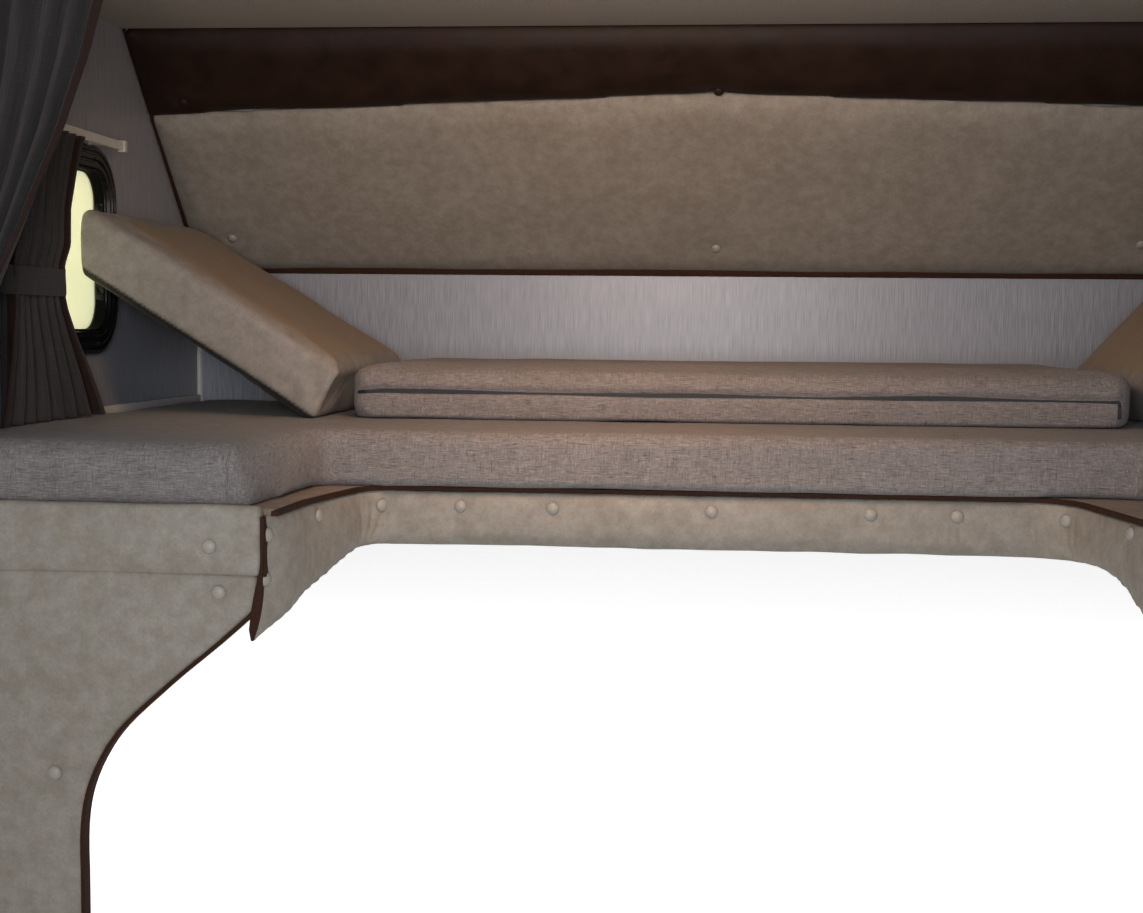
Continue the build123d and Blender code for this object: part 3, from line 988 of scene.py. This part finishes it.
# the clamp ring's section from its rim inwards: the width and the rise of each step
RING_STEPS = ((0.003, 0.004), (0.008, 0.001), (0.002, -0.004), (0.004, 0), (0.002, 0.005),
              (0.008, 0), (0.002, -0.005), (0.004, 0), (0.002, 0.005), (0.008, 0),
              (0.003, -0.006), (0.004, -0.002))
RING_CORNER = 0.106
RING_LIP = 0.004        # the part of the ring beside the wall, of rubber
SCREW_INSET = 0.023     # from the ring's rim to its screws


class BUNK_OT_windows(bpy.types.Operator):
    """Clamp rings of the side windows, ridged and glossy"""
    bl_idname = "bunk.windows"
    bl_label = "Side windows"

    def execute(self, context):
        low, high = WINDOW
        middle = (low + high) / 2
        wide, tall = high.y - low.y, high.z - low.z
        ring = plane("window_clamp_ring_right", (high.x, middle.y, middle.z),
                     (math.pi / 2, 0, -math.pi / 2), wide, tall)
        bevel_at(ring, "verts", None, RING_CORNER, 12)
        choose(ring, "faces")
        extrude(-0.007, 0, 0)
        leave()
        delete_at(ring, "faces", lambda p, n: p.x > high.x - 0.001, "ONLY_FACE")
        choose(ring, "faces", lambda p, n: p.x < high.x - 0.006)
        for step, rise in RING_STEPS:
            bpy.ops.mesh.inset(thickness=step, depth=rise)
        extrude(0.022, 0, 0)
        bpy.ops.mesh.delete(type="FACE")
        bpy.ops.mesh.select_mode(type="EDGE")
        bpy.ops.mesh.select_non_manifold()
        bpy.ops.mesh.bridge_edge_loops()
        leave()
        outward(ring)
        round_edges(ring, 0.0008, degrees=40)
        left = mount_pair(ring, "black ABS", "black_frame", "window_ring")
        for piece in (ring, left):
            dress(piece, "black ABS", "black rubber")
            for face in piece.data.polygons:
                face.material_index = 1 if abs(face.center.x) > high.x - RING_LIP else 0
        self.screws(high.x - 0.0128, middle, wide / 2 - SCREW_INSET, tall / 2 - SCREW_INSET)
        return {"FINISHED"}

    def screws(self, face, middle, half_y, half_z):
        """Black pan heads round the clamp ring."""
        turn = Matrix.Rotation(-math.pi / 2, 4, "Y")
        spots = [(side * along, end * half_z)
                 for side in (-1, 1) for end in (-1, 1) for along in (0.055, 0.155)]
        spots += [(end * half_y, along) for end in (-1, 1) for along in (-0.08, 0.08)]
        head = make_screw(0.0036)
        heads = []
        for i, (y, z) in enumerate(spots):
            place = Matrix.Translation((face, middle.y + y, middle.z + z)) @ turn
            heads.append(again(head, f"head_{i}", place))
        bpy.data.objects.remove(head)
        mount_pair(join("window_ring_screws_right", heads), "black ABS", "black_frame")


class BUNK_OT_linings(bpy.types.Operator):
    """Wallpaper, ceiling and corner beads"""
    bl_idname = "bunk.linings"
    bl_label = "Linings"

    def execute(self, context):
        dress_nodes("streaked wallpaper", "liner_front", "seam_strip", *sided("liner"))
        dress_nodes("ceiling vinyl", "ceiling_panel")
        face, front = WALL_FACE, FRONT_FACE
        bead = block("corner_bead_right", (face - 0.012, front - 0.012, FOAM_TOP - 0.01),
                     (face, front, front))
        bevel_at(bead, "edges", lambda p, n: p.x < face - 0.01 and p.y < front - 0.01, 0.009, 4)
        shade()
        mount_pair(bead, "white enamel", "white_rail")
        # painted light: a white strip along the wall's foot above the mattress stands in for a
        # pale band of window light there
        light_strip = block("wall_cove_right", (face - 0.009, -0.12, FOAM_TOP - 0.012),
                     (face, front - 0.013, FOAM_TOP + 0.010))
        round_edges(light_strip, 0.003)
        mount_pair(light_strip, "white enamel", "white_rail")
        return {"FINISHED"}


# each pad's node, name, voxel, material, slot, how far it stands proud, and its buttons
SLOPE_PADS = (
    ("slope_pad", "slope_upholstery", 0.015, "suede vinyl beige", "beige_vinyl", 0,
     ((-1.107, 0.437, 0.573), (0, 0.455, 0.555), (0.926, 0.442, 0.568))),
    ("header_pad", "header_upholstery", 0.013, "leather-look vinyl brown", "brown_vinyl", 0.006,
     ((-1.127, 0.166, 0.844), (0, 0.155, 0.855), (1.127, 0.166, 0.844))),
)


class BUNK_OT_slope_pads(bpy.types.Operator):
    """Padded slope and brown header with their buttons"""
    bl_idname = "bunk.slope_pads"
    bl_label = "Sloped ceiling pads"

    def execute(self, context):
        for node, name, voxel, material, slot, proud, spots in SLOPE_PADS:
            pad = soft_copy(node, name, voxel, 2)
            deep = 0.010 - proud
            swell(pad, sizes().crown, lambda p, n: (p.y + p.z - SLOPE_SUM) / ROOT2 > deep)
            keep_inside(pad, (-SLOPE_EDGE, -FREE, -FREE), (SLOPE_EDGE, FREE, FREE))
            smooth_out(pad)
            wobble(pad, 0.22, 0.003)
            tuft(pad, name.replace("upholstery", "buttons"), spots, (0, -1, -1), material, slot,
                 0.03)
            mount(pad, material, slot, stands_for=[node])
        self.painted_shadow_strips()
        return {"FINISHED"}

    def painted_shadow_strips(self):
        """Dark brown strips in the joints of the slope with the wall linings: painted shadow for
        the shade in those gaps.
        """
        foot = SLOPE_SUM - FRONT_FACE
        # painted shadow: a dark strip along the slope's foot, where the joint lies in shade
        strip = block("slope_foot_strip", (-SLOPE_EDGE, FRONT_FACE - 0.006, foot + 0.001),
                      (SLOPE_EDGE, FRONT_FACE + 0.001, foot + 0.022))
        round_edges(strip, 0.0015)
        mount(strip, "welt vinyl brown", "brown_vinyl")
        run = (CEILING - foot) * ROOT2
        # painted shadow: a dark strip along each side of the slope, where the joint lies in shade
        strip = block("slope_side_strip_right", (SLOPE_EDGE - 0.008, -run / 2, 0.003),
                      (SLOPE_EDGE, run / 2, 0.009))
        round_edges(strip, 0.0015)
        middle = (CEILING + foot) / 2
        strip.data.transform(Matrix.Translation((0, SLOPE_SUM - middle, middle))
                             @ Matrix.Rotation(math.radians(-45), 4, "X"))
        mount_pair(strip, "welt vinyl brown", "brown_vinyl")


class BUNK_OT_deck(bpy.types.Operator):
    """Deck, its nosing, the seat on the cab roof, feet and the underside"""
    bl_idname = "bunk.deck"
    bl_label = "Deck and underside"

    def execute(self, context):
        dress_nodes("plywood", *sided("bulkhead"))
        dress_nodes("underside sheet", "deck_core")
        dress_nodes("suede vinyl tan", "deck_nosing", "deck_board")
        dress_nodes("zinc-plated steel", "roof_seat")
        dress_nodes("powder-coated steel", *sided("foot"))
        dress_nodes("welt vinyl brown", "arch_trim", *sided("side_trim"))
        dress_nodes("white enamel", "drape_track", *sided("curtain_rail"))
        return {"FINISHED"}


MATTRESS_GAP = 0.0006       # between the mattress and the linings
WING_SEAMS = (("left", -0.712), ("right", 0.744))


class BUNK_OT_mattress(bpy.types.Operator):
    """U-shaped foam mattress in tweed with its sewn corner seams"""
    bl_idname = "bunk.mattress"
    bl_label = "Mattress"

    def execute(self, context):
        pad = soft_copy("mattress", "mattress_cover", 0.018, 1)
        swell(pad, 0.006, lambda p, n: p.z < DECK_TOP + 0.01)
        side = WALL_FACE - MATTRESS_GAP
        low, high = (-side, -FREE, DECK_TOP), (side, FRONT_FACE - MATTRESS_GAP, FOAM_TOP)
        keep_inside(pad, low, high)
        smooth_out(pad)
        wobble(pad, 0.16, 0.0025)
        keep_inside(pad, low, high)
        self.corner_seams(pad)
        mount(pad, "slub tweed", "tweed", stands_for=["mattress"])
        return {"FINISHED"}

    def corner_seams(self, pad):
        """The upright seam of the boxing at the end of each wing."""
        for name, x in WING_SEAMS:
            spots = [touch(pad, (x, -1.2, z), (0, 1, 0))
                     for z in numpy.linspace(0.105, 0.186, 14)]
            co = points_of(pad)
            near = numpy.exp(-((co[:, 0] - x) / 0.007) ** 2) * (co[:, 1] < -0.88)
            co[:, 1] += 0.0022 * near
            set_points(pad, co)
            seam_line(f"mattress_seam_{name}", spots, 0.0028, "slub tweed", "tweed")


# the zip's line across the front: places from the middle, and heights
ZIP_PLACES = (-0.69, -0.62, -0.45, -0.2, 0, 0.2, 0.42, 0.6, 0.745)
ZIP_HEIGHTS = (0.244, 0.2485, 0.2475, 0.246, 0.2465, 0.245, 0.2475, 0.2455, 0.2445)
ZIP_LEVEL = 0.24
ZIP_FOOT = 0.214


class BUNK_OT_fill_cushion(bpy.types.Operator):
    """Loose fill cushion in tweed with its long zip"""
    bl_idname = "bunk.fill_cushion"
    bl_label = "Fill cushion"

    def execute(self, context):
        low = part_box("fill_cushion")[0]
        pad = soft_copy("fill_cushion", "fill_cushion_cover", 0.013, 1)
        swell(pad, 0.010, lambda p, n: p.z < low.z + 0.006)
        room = (-FREE, -FREE, low.z), (FREE, FRONT_FACE - 0.004, FREE)
        keep_inside(pad, *room)
        smooth_out(pad)
        wobble(pad, 0.14, 0.003)
        keep_inside(pad, *room)
        co = points_of(pad)
        level = co[numpy.abs(co[:, 2] - ZIP_LEVEL) < 0.02]
        self.zip(pad, level[:, 0].min() + 0.012, level[:, 0].max() - 0.026)
        mount(pad, "slub tweed", "tweed", body="fill", stands_for=["fill_cushion"])
        return {"FINISHED"}

    def zip(self, pad, start, end):
        """The long zip across the front, sunk under a lip of cloth, and its short end."""
        across = numpy.linspace(start, end, 90)
        height = numpy.interp(across, ZIP_PLACES, ZIP_HEIGHTS)
        spots = [touch(pad, (x, -0.6, z), (0, 1, 0)) for x, z in zip(across, height)]
        foot = [touch(pad, (end, -0.6, z), (0, 1, 0))
                for z in numpy.linspace(height[-1], ZIP_FOOT, 8)]
        co = points_of(pad)
        line = numpy.interp(co[:, 0], across, height)
        front = numpy.exp(-(numpy.clip(co[:, 1] - spots[45].y, 0, 1) / 0.012) ** 2)
        front = front * ((co[:, 0] > start) & (co[:, 0] < end))
        near = numpy.exp(-((co[:, 2] - line) / 0.007) ** 2)
        lip = numpy.exp(-((co[:, 2] - line - 0.014) / 0.009) ** 2)
        co[:, 1] += front * (0.005 * near - 0.0035 * lip)
        set_points(pad, co)
        self.tape(pad, "fill_cushion_zip", spots, 1.0, Vector((0, 0, 1)))
        self.tape(pad, "fill_cushion_zip_end", foot, 0.8, Vector((1, 0, 0)))

    def tape(self, pad, name, path, wide, sideways):
        """A strip of zip tape, a little uneven, that lies on the cover along a path."""
        verts, faces = [], []
        for i, spot in enumerate(path):
            half = sizes().zip_width / 2 * wide * (0.8 + 0.35 * math.sin(i * 0.21))
            seat = touch(pad, spot - Vector((0, 0.05, 0)), (0, 1, 0)) - Vector((0, 0.0012, 0))
            verts += [seat - half * sideways, seat, seat + half * sideways]
        for i in range(0, len(verts) - 3, 3):
            faces += [(i, i + 3, i + 4, i + 1), (i + 1, i + 4, i + 5, i + 2)]
        mesh = bpy.data.meshes.new(name)
        mesh.from_pydata(verts, [], faces)
        piece = put(name, mesh)
        use(piece, "SOLIDIFY", thickness=0.0016, offset=0)
        outward(piece)
        mount(piece, "zip black", body="fill")


# each leaning cushion: its side, the distance of its foot from the middle, and its lean
LEANING = {"left": (-1, 0.753, 32), "right": (1, 0.850, 47.2)}


class BUNK_OT_seat_cushions(bpy.types.Operator):
    """Two leaning seat cushions in vinyl"""
    bl_idname = "bunk.seat_cushions"
    bl_label = "Leaning seat cushions"

    def execute(self, context):
        for _, side in SIDES:
            pad = soft_copy(f"bolster_{side}", f"seat_cushion_{side}", 0.010, 1)
            swell(pad, sizes().cushion_crown * 0.7, lambda p, n: p.z < FOAM_TOP + 0.004)
            smooth_out(pad)
            wobble(pad, 0.12, 0.003)
            keep_inside(pad, (-FREE, -FREE, FOAM_TOP), (FREE, FREE, FREE))
            self.panels(pad, *LEANING[side])
            mount(pad, "suede vinyl seat", "bolster_vinyl", stands_for=[f"bolster_{side}"])
        return {"FINISHED"}

    def panels(self, pad, hand, foot, lean):
        """Mark the tan top, which is painted shade, and the darker band along the bottom, by
        height in the cushion.
        """
        lean = math.radians(lean)
        co = points_of(pad)
        rise = co[:, 2] - FOAM_TOP
        height = -hand * (co[:, 0] - hand * foot) * math.sin(lean) + rise * math.cos(lean)
        thick = height.max() - height.min()
        height = height - height.min()
        # the top's share is painted shade; the bottom's share only darkens a band
        for name, start, end in (("top_panel", thick - 0.009, thick - 0.004),
                                 ("under_panel", 0.023, 0.020)):
            share = numpy.clip((height - start) / (end - start), 0, 1)
            mark = pad.data.attributes.new(name, "FLOAT", "POINT")
            mark.data.foreach_set("value", share.astype(numpy.float32))


# the arch's buttons: on its front (across, up), near the end of each leg and on the leg
# itself (from the middle, back, up), and at each corner (from the middle, back)
FRONT_BUTTONS = ((-0.423, 0.068), (-0.266, 0.067), (0, 0.067), (0.262, 0.067), (0.403, 0.067))
END_BUTTONS = ((0.645, -0.913, 0.064), (0.650, -0.913, -0.002))
LEG_BUTTONS = {-1: ((0.60, -0.725, 0.071),), 1: ((0.585, -0.786, 0.076),)}
CORNER_BUTTON = {-1: (0.529, -0.560), 1: (0.572, -0.555)}
CORNER_HEIGHT = 0.067
# creases below a corner's button: how far away top and foot are, and the foot's height
CORNER_CREASES = ((0.002, 0.013, 0.004), (0.012, 0.023, 0.014))
# creases below two buttons of the front: where they are, and the places of top and foot
CREASED = (-0.423, 0.403)
FRONT_CREASES = ((0.002, 0.006), (-0.008, -0.012))
CUT_OUT = (0.47, -0.63)     # middles of the cut-out's corners, from the middle and back
# how the brown strip beside each leg of the arch runs: heights, inner and outer places
STRIP_HEIGHTS = (-0.092, -0.085, -0.05, -0.022, 0.004, 0.018, 0.091)
STRIP_INNER = (0.6650, 0.6620, 0.6550, 0.6520, 0.6510, 0.6500, 0.6480)
STRIP_OUTER = (0.6690, 0.6730, 0.6690, 0.6640, 0.6580, 0.6545, 0.6545)
STRIP_SHIFT = 0.004
# each pad of the sides: node, name, its buttons' name, voxel, smoothing, swell, how far its
# rim is let out, size and depth of its waves, filling, and its buttons (from the middle, up)
SIDE_PADS = (
    ("fascia", "fascia_upholstery", "fascia_button", 0.0055, 2, 0.006, 0.0012, 0.09, 0.0015, 0.7,
     ((0.731, 0.046), (1.09, 0.046))),
    ("side_panel", "side_upholstery", "side_buttons", 0.009, 1, 0.008, 0.003, 0.2, 0.003, 0.6,
     ((0.718, -0.022), (0.969, -0.299), (1.075, -0.62), (1.075, -0.95))),
)
PADS_LOOK = ("suede vinyl beige", "beige_vinyl")


def out_of_arch(p):
    """The direction away from the cut-out at a point of its surround."""
    wide, back = CUT_OUT
    middle = Vector((max(-wide, min(wide, p.x)), min(p.y, back), p.z))
    return (p - middle).normalized()


class BUNK_OT_surround(bpy.types.Operator):
    """Padded arch, fascias and side panels of the cab opening with their buttons"""
    bl_idname = "bunk.surround"
    bl_label = "Cab-opening surround"

    def execute(self, context):
        pad = soft_copy("arch_pad", "arch_upholstery", 0.006, 6)
        swell(pad, 0.008, lambda p, n: n.dot(out_of_arch(p)) > 0.2 or p.z > DECK_TOP - 0.012)
        smooth_out(pad)
        wobble(pad, 0.07, 0.0015)
        self.flare(pad)
        self.even_out(pad)
        spots = [(x, -0.6, z) for x, z in FRONT_BUTTONS]
        tuft(pad, "arch_buttons_front", spots, (0, -1, 0), *PADS_LOOK)
        for side, name in SIDES:
            self.leg_buttons(pad, side, name)
        for x in CREASED:
            for top, foot in FRONT_CREASES:
                self.crease(pad, (x + top, -1, 0.054), (x + foot, -1, 0.01), (0, -1, 0), 0, 0.0009)
        mount(pad, *PADS_LOOK, stands_for=["arch_pad"])
        self.leg_strips()
        for side, name in SIDES:
            for values in SIDE_PADS:
                self.side_pad(side, name, *values)
        return {"FINISHED"}

    def crease(self, pad, start, end, facing, ahead, deep):
        """A crease between the places on a pad that lie behind two points."""
        facing = Vector(facing)
        start, end = (touch(pad, Vector(spot) + facing * ahead, -facing) for spot in (start, end))
        fold(pad, start, end, 0.004, deep, facing)

    def leg_buttons(self, pad, side, name):
        """The buttons on a leg of the arch and at its corner, with the corner's creases."""
        for title, spots, facing in (
                ("arch_buttons", LEG_BUTTONS[side], (-side, -0.16, 0)),
                ("arch_buttons_end", END_BUTTONS, (-side, -0.5, 0))):
            spots = [(side * x, y, z) for x, y, z in spots]
            tuft(pad, f"{title}_{name}", spots, facing, *PADS_LOOK)
        across, back = CORNER_BUTTON[side]
        facing = Vector((-side, -1.1, 0)).normalized()
        corner = Vector((side * across, back, CORNER_HEIGHT))
        tuft(pad, f"arch_buttons_corner_{name}", [corner], facing, *PADS_LOOK)
        for top, foot, low in CORNER_CREASES:
            start = corner + Vector((side * top, -0.9 * top, -0.012))
            end = corner + Vector((side * foot, -0.9 * foot, low - CORNER_HEIGHT))
            self.crease(pad, start, end, facing, 0.1, 0.0012)

    def side_pad(self, side, name, node, title, buttons, voxel, relax, most, out, size, deep,
                 fill, spots):
        """A fascia or side panel of one side."""
        pad = soft_copy(f"{node}_{name}", f"{title}_{name}", voxel, relax)
        swell(pad, most, lambda p, n: p.y > REAR - 0.008 or abs(n.y) < 0.75)
        smooth_out(pad)
        let_out(pad, out, REAR)
        wobble(pad, size, deep)
        spots = [(side * x, -1.0, z) for x, z in spots]
        tuft(pad, f"{buttons}_{name}", spots, (0, -1, 0), *PADS_LOOK)
        mount(pad, *PADS_LOOK, stands_for=[f"{node}_{name}"])

    def even_out(self, pad):
        """Cut the lower edge of each leg of the arch along an even curve."""
        co = points_of(pad)
        places = numpy.linspace(-0.922, -0.565, 60)
        for side in (-1, 1):
            leg = (numpy.sign(co[:, 0]) == side) & (numpy.abs(co[:, 0]) > 0.58)
            edge = numpy.array([
                co[leg & (numpy.abs(co[:, 1] - y) < 0.006), 2].min() for y in places])
            even = numpy.polyval(numpy.polyfit(places, edge, 4), places)
            even -= 0.007 * numpy.clip((-0.84 - places) / 0.08, 0, 1) ** 2
            here, low = co[leg, 1], numpy.interp(co[leg, 1], places, edge)
            shift = numpy.interp(here, places, even - edge)
            shift *= numpy.clip((-0.575 - here) / 0.04, 0, 1)
            co[leg, 2] += shift * numpy.clip((0.07 - (co[leg, 2] - low)) / 0.06, 0, 1)
            rows = numpy.flatnonzero(leg)[co[leg, 2] < low + 0.016]
            near = pad.vertex_groups.get("edge") or pad.vertex_groups.new(name="edge")
            near.add([int(i) for i in rows], 1.0, "REPLACE")
        set_points(pad, co)
        use(pad, "SMOOTH", factor=0.5, iterations=8, vertex_group="edge")
        pad.vertex_groups.clear()

    def leg_strips(self):
        """The brown strip between each leg of the arch and the panels beside it."""
        foot, top = STRIP_HEIGHTS[0], STRIP_HEIGHTS[-1]
        strip = block("leg_strip_right", (0, -0.9265, foot), (1, -0.914, top))
        choose(strip, "edges", lambda p, n: abs(p.z) < 0.01)
        bpy.ops.mesh.subdivide_edgering(number_cuts=11)
        leave()
        co = points_of(strip)
        near = numpy.interp(co[:, 2], STRIP_HEIGHTS, STRIP_INNER)
        far = numpy.interp(co[:, 2], STRIP_HEIGHTS, STRIP_OUTER)
        co[:, 0] = near + (far - near) * co[:, 0] + STRIP_SHIFT
        set_points(strip, co)
        round_edges(strip, 0.0012)
        other = mount_pair(strip, "welt vinyl brown", "brown_vinyl")
        co = points_of(other)
        co[:, 0] += STRIP_SHIFT
        set_points(other, co)

    def flare(self, pad):
        """Let the rear end of each leg of the arch follow the side panel's edge outwards."""
        co = points_of(pad)
        back = numpy.clip((-0.76 - co[:, 1]) / 0.165, 0, 1)
        for side, inner in ((-1, 0.629), (1, 0.634)):
            rows = (numpy.sign(co[:, 0]) == side) & (back > 0)
            end = numpy.clip((-0.84 - co[rows, 1]) / 0.085, 0, 1)
            share = (back[rows] * 0.35 + 0.65 * end) ** 2
            rear = inner + numpy.interp(
                co[rows, 2], (-0.09, -0.03, 0.003, 0.09), (0.036, 0.029, 0.022, 0.018))
            deep = numpy.clip((numpy.abs(co[rows, 0]) - inner + 0.002) / 0.02, 0, 1)
            place = rear + deep * 0.003
            co[rows, 0] = side * (numpy.abs(co[rows, 0]) * (1 - share) + place * share)
        set_points(pad, co)


def edge_at(points, z):
    """The place of a curtain's edge at a height, from its (place, height) points."""
    heights = [p[1] for p in points][::-1]
    places = [p[0] for p in points][::-1]
    return float(numpy.interp(z, heights, places))


def hang(name, first, second, low, high, middle, flat_width, pleats, room, along_x):
    """A pleated cloth between two edges, each row as long as the cut is wide."""
    rows, columns = 60, pleats * 12
    verts, uvs = [], []
    for r in range(rows + 1):
        z = high + (low - high) * r / rows
        a, b = edge_at(first, z), edge_at(second, z)
        t = numpy.linspace(0, 1, columns + 1)
        bent = t + 0.018 * numpy.sin(2 * math.pi * 2.3 * t + 0.7) * (1 - abs(2 * t - 1))
        shift = 2.0 * t * (1 - t) * numpy.sin(5 * t + 2.2 * (z - low))
        # the hems hang flat
        pleat = numpy.clip((t - 0.05) / 0.9, 0, 1)
        wave = -numpy.cos(2 * math.pi * pleats * pleat + shift)
        wave = wave * (0.86 + 0.14 * numpy.sin(9 * t + 3 * z))
        place = a + (b - a) * bent
        lo, hi = 0.0, room / 2
        for _ in range(18):
            mid = (lo + hi) / 2
            run = numpy.hypot(numpy.diff(place), numpy.diff(mid * wave)).sum()
            lo, hi = (mid, hi) if run < flat_width else (lo, mid)
        off = middle + lo * wave
        for c in range(columns + 1):
            verts.append((place[c], off[c], z) if along_x else (off[c], place[c], z))
            uvs.append((flat_width * t[c], z))
    faces = []
    for r in range(rows):
        for c in range(columns):
            i = r * (columns + 1) + c
            faces.append((i, i + 1, i + columns + 2, i + columns + 1))
    mesh = bpy.data.meshes.new(name)
    mesh.from_pydata(verts, [], faces)
    layer = mesh.uv_layers.new(name="cut")
    for loop in mesh.loops:
        layer.data[loop.index].uv = uvs[loop.vertex_index]
    piece = put(name, mesh)
    bpy.ops.object.shade_smooth()
    return piece


def band_edge(piece, flat_width, both):
    """Give the cloth's first edge, or both, its brown band."""
    wide = sizes().band
    layer = piece.data.uv_layers["cut"]
    for face in piece.data.polygons:
        u = sum(layer.data[i].uv[0] for i in face.loop_indices) / len(face.loop_indices)
        near = u < wide or (both and u > flat_width - wide)
        face.material_index = 1 if near else 0


# each cloth's flat width, its pleats and the room across them
WINDOW_CLOTH = (0.56, 7, 0.042)
DRAPE_CLOTH = (0.62, 7, 0.050)
# the edges of the right window curtain between rail and mattress (place, height)
WINDOW_EDGE_OUTER = (
    (-0.307, 0.699), (-0.339, 0.644), (-0.369, 0.576), (-0.372, 0.510), (-0.400, 0.474),
    (-0.402, 0.419), (-0.391, 0.396), (-0.360, 0.358), (-0.316, 0.314), (-0.266, 0.264))
WINDOW_EDGE_INNER = (
    (-0.588, 0.580), (-0.604, 0.510), (-0.622, 0.472), (-0.617, 0.404), (-0.629, 0.311),
    (-0.644, 0.237))
# the free edge of the right drape between track and mattress
DRAPE_EDGE = (
    (0.926, 0.768), (0.966, 0.658), (1.031, 0.517), (1.076, 0.425), (1.098, 0.375),
    (1.096, 0.310))
# the rise of each step of a tie but the last, and how far the tie grows there
TIE_STEPS = ((0.006, 1.02), (0.012, 1.0), (0.016, 0.985), (0.012, 1.0))


class BUNK_OT_curtains(bpy.types.Operator):
    """Window curtains on their rails and the drapes at the bunk's opening"""
    bl_idname = "bunk.curtains"
    bl_label = "Curtains"

    def execute(self, context):
        low = FOAM_TOP + 0.002
        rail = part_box("curtain_rail_right")
        # the rod's middle, behind the rims of its end caps
        rail_x = rail[0].x + 0.0070
        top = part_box("window_curtain_right")[1].z
        outer = ((-0.294, top), *WINDOW_EDGE_OUTER, (-0.204, low))
        inner = ((-0.575, top), *WINDOW_EDGE_INNER, (-0.657, low))
        cloth = hang("window_curtain_cloth_right", inner, outer, low, top, rail_x,
                     *WINDOW_CLOTH, along_x=False)
        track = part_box("drape_track")
        track_y = (track[0].y + track[1].y) / 2
        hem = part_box("drape_right")[1].z
        free = ((0.872, hem), *DRAPE_EDGE, (1.092, low))
        wall = ((WALL_FACE - 0.014, hem), (WALL_FACE - 0.014, low))
        drape = hang("drape_cloth_right", free, wall, low, hem, track_y,
                     *DRAPE_CLOTH, along_x=True)
        for piece, flat, node, both in (
                (cloth, WINDOW_CLOTH[0], "window_curtain", True),
                (drape, DRAPE_CLOTH[0], "drape", False)):
            dress(piece, "curtain linen", "curtain edge brown")
            band_edge(piece, flat, both)
            use(piece, "SOLIDIFY", thickness=sizes().thread, offset=0)
            other = mirrored(piece, piece.name.replace("right", "left"))
            for made, side in ((piece, "right"), (other, "left")):
                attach(made, "bunk")
                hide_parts(f"{node}_{side}")
        self.ties(rail_x, track_y)
        return {"FINISHED"}

    def ties(self, rail_x, track_y):
        """A cloth band round the waist of each curtain, hooked to the wall."""
        for name, middle, half_x, half_y, low, high in (
                ("window_curtain_tie", (rail_x, -0.514), 0.0215, 0.114, 0.417, 0.465),
                ("drape_tie", (1.152, track_y), 0.0605, 0.030, 0.318, 0.372)):
            band = plane(name + "_right", (*middle, low), (0, 0, 0), 2 * half_x, 2 * half_y)
            bevel_at(band, "verts", None, min(half_x, half_y) * 0.92, 8)
            delete_at(band, "faces", None, "ONLY_FACE")
            choose(band, "edges")
            last = high - low - sum(rise for rise, _ in TIE_STEPS)
            for rise, grow in (*TIE_STEPS, (last, 1.01)):
                extrude(0, 0, rise)
                bpy.ops.transform.resize(value=(grow, grow, 1), center_override=(*middle, low))
            leave()
            outward(band)
            use(band, "SOLIDIFY", thickness=0.002, offset=0)
            shade(50)
            for old in list(band.data.uv_layers):
                band.data.uv_layers.remove(old)
            layer = band.data.uv_layers.new(name="cut")
            for loop in band.data.loops:
                co = band.data.vertices[loop.vertex_index].co
                layer.data[loop.index].uv = (co.x + co.y, co.z)
            mount_pair(band, "tie linen", "curtain_cloth")


class BUNK_PT_panel(bpy.types.Panel):
    """Shows the sizes, the colours and a button for each step of the bunk section"""
    bl_idname = "BUNK_PT_panel"
    bl_label = "Over-cab bunk"
    bl_space_type = "VIEW_3D"
    bl_region_type = "UI"
    bl_category = "Bunk"

    def draw(self, context):
        for group in (context.scene.bunk_sizes, context.scene.bunk_colours):
            column = self.layout.column(align=True)
            for name in group.bl_rna.properties.keys():
                if name not in ("rna_type", "name"):
                    column.prop(group, name)
        for operator in STEPS:
            self.layout.operator(operator.bl_idname)


STEPS = (
    BUNK_OT_stage, BUNK_OT_shell, BUNK_OT_windows, BUNK_OT_linings, BUNK_OT_slope_pads,
    BUNK_OT_deck, BUNK_OT_mattress, BUNK_OT_fill_cushion, BUNK_OT_seat_cushions,
    BUNK_OT_surround, BUNK_OT_curtains,
)
CLASSES = (BunkColours, BunkSizes, *STEPS, BUNK_PT_panel)


def register():
    """Register the classes and their settings."""
    for item in CLASSES:
        bpy.utils.register_class(item)
    bpy.types.Scene.bunk_colours = bpy.props.PointerProperty(type=BunkColours)
    bpy.types.Scene.bunk_sizes = bpy.props.PointerProperty(type=BunkSizes)


def unregister():
    """Remove the settings and the classes."""
    del bpy.types.Scene.bunk_sizes
    del bpy.types.Scene.bunk_colours
    for item in reversed(CLASSES):
        bpy.utils.unregister_class(item)


def main():
    """Make every piece in order."""
    register()
    for step in STEPS:
        group, name = step.bl_idname.split(".")
        getattr(getattr(bpy.ops, group), name)()


if __name__ == "__main__":
    main()
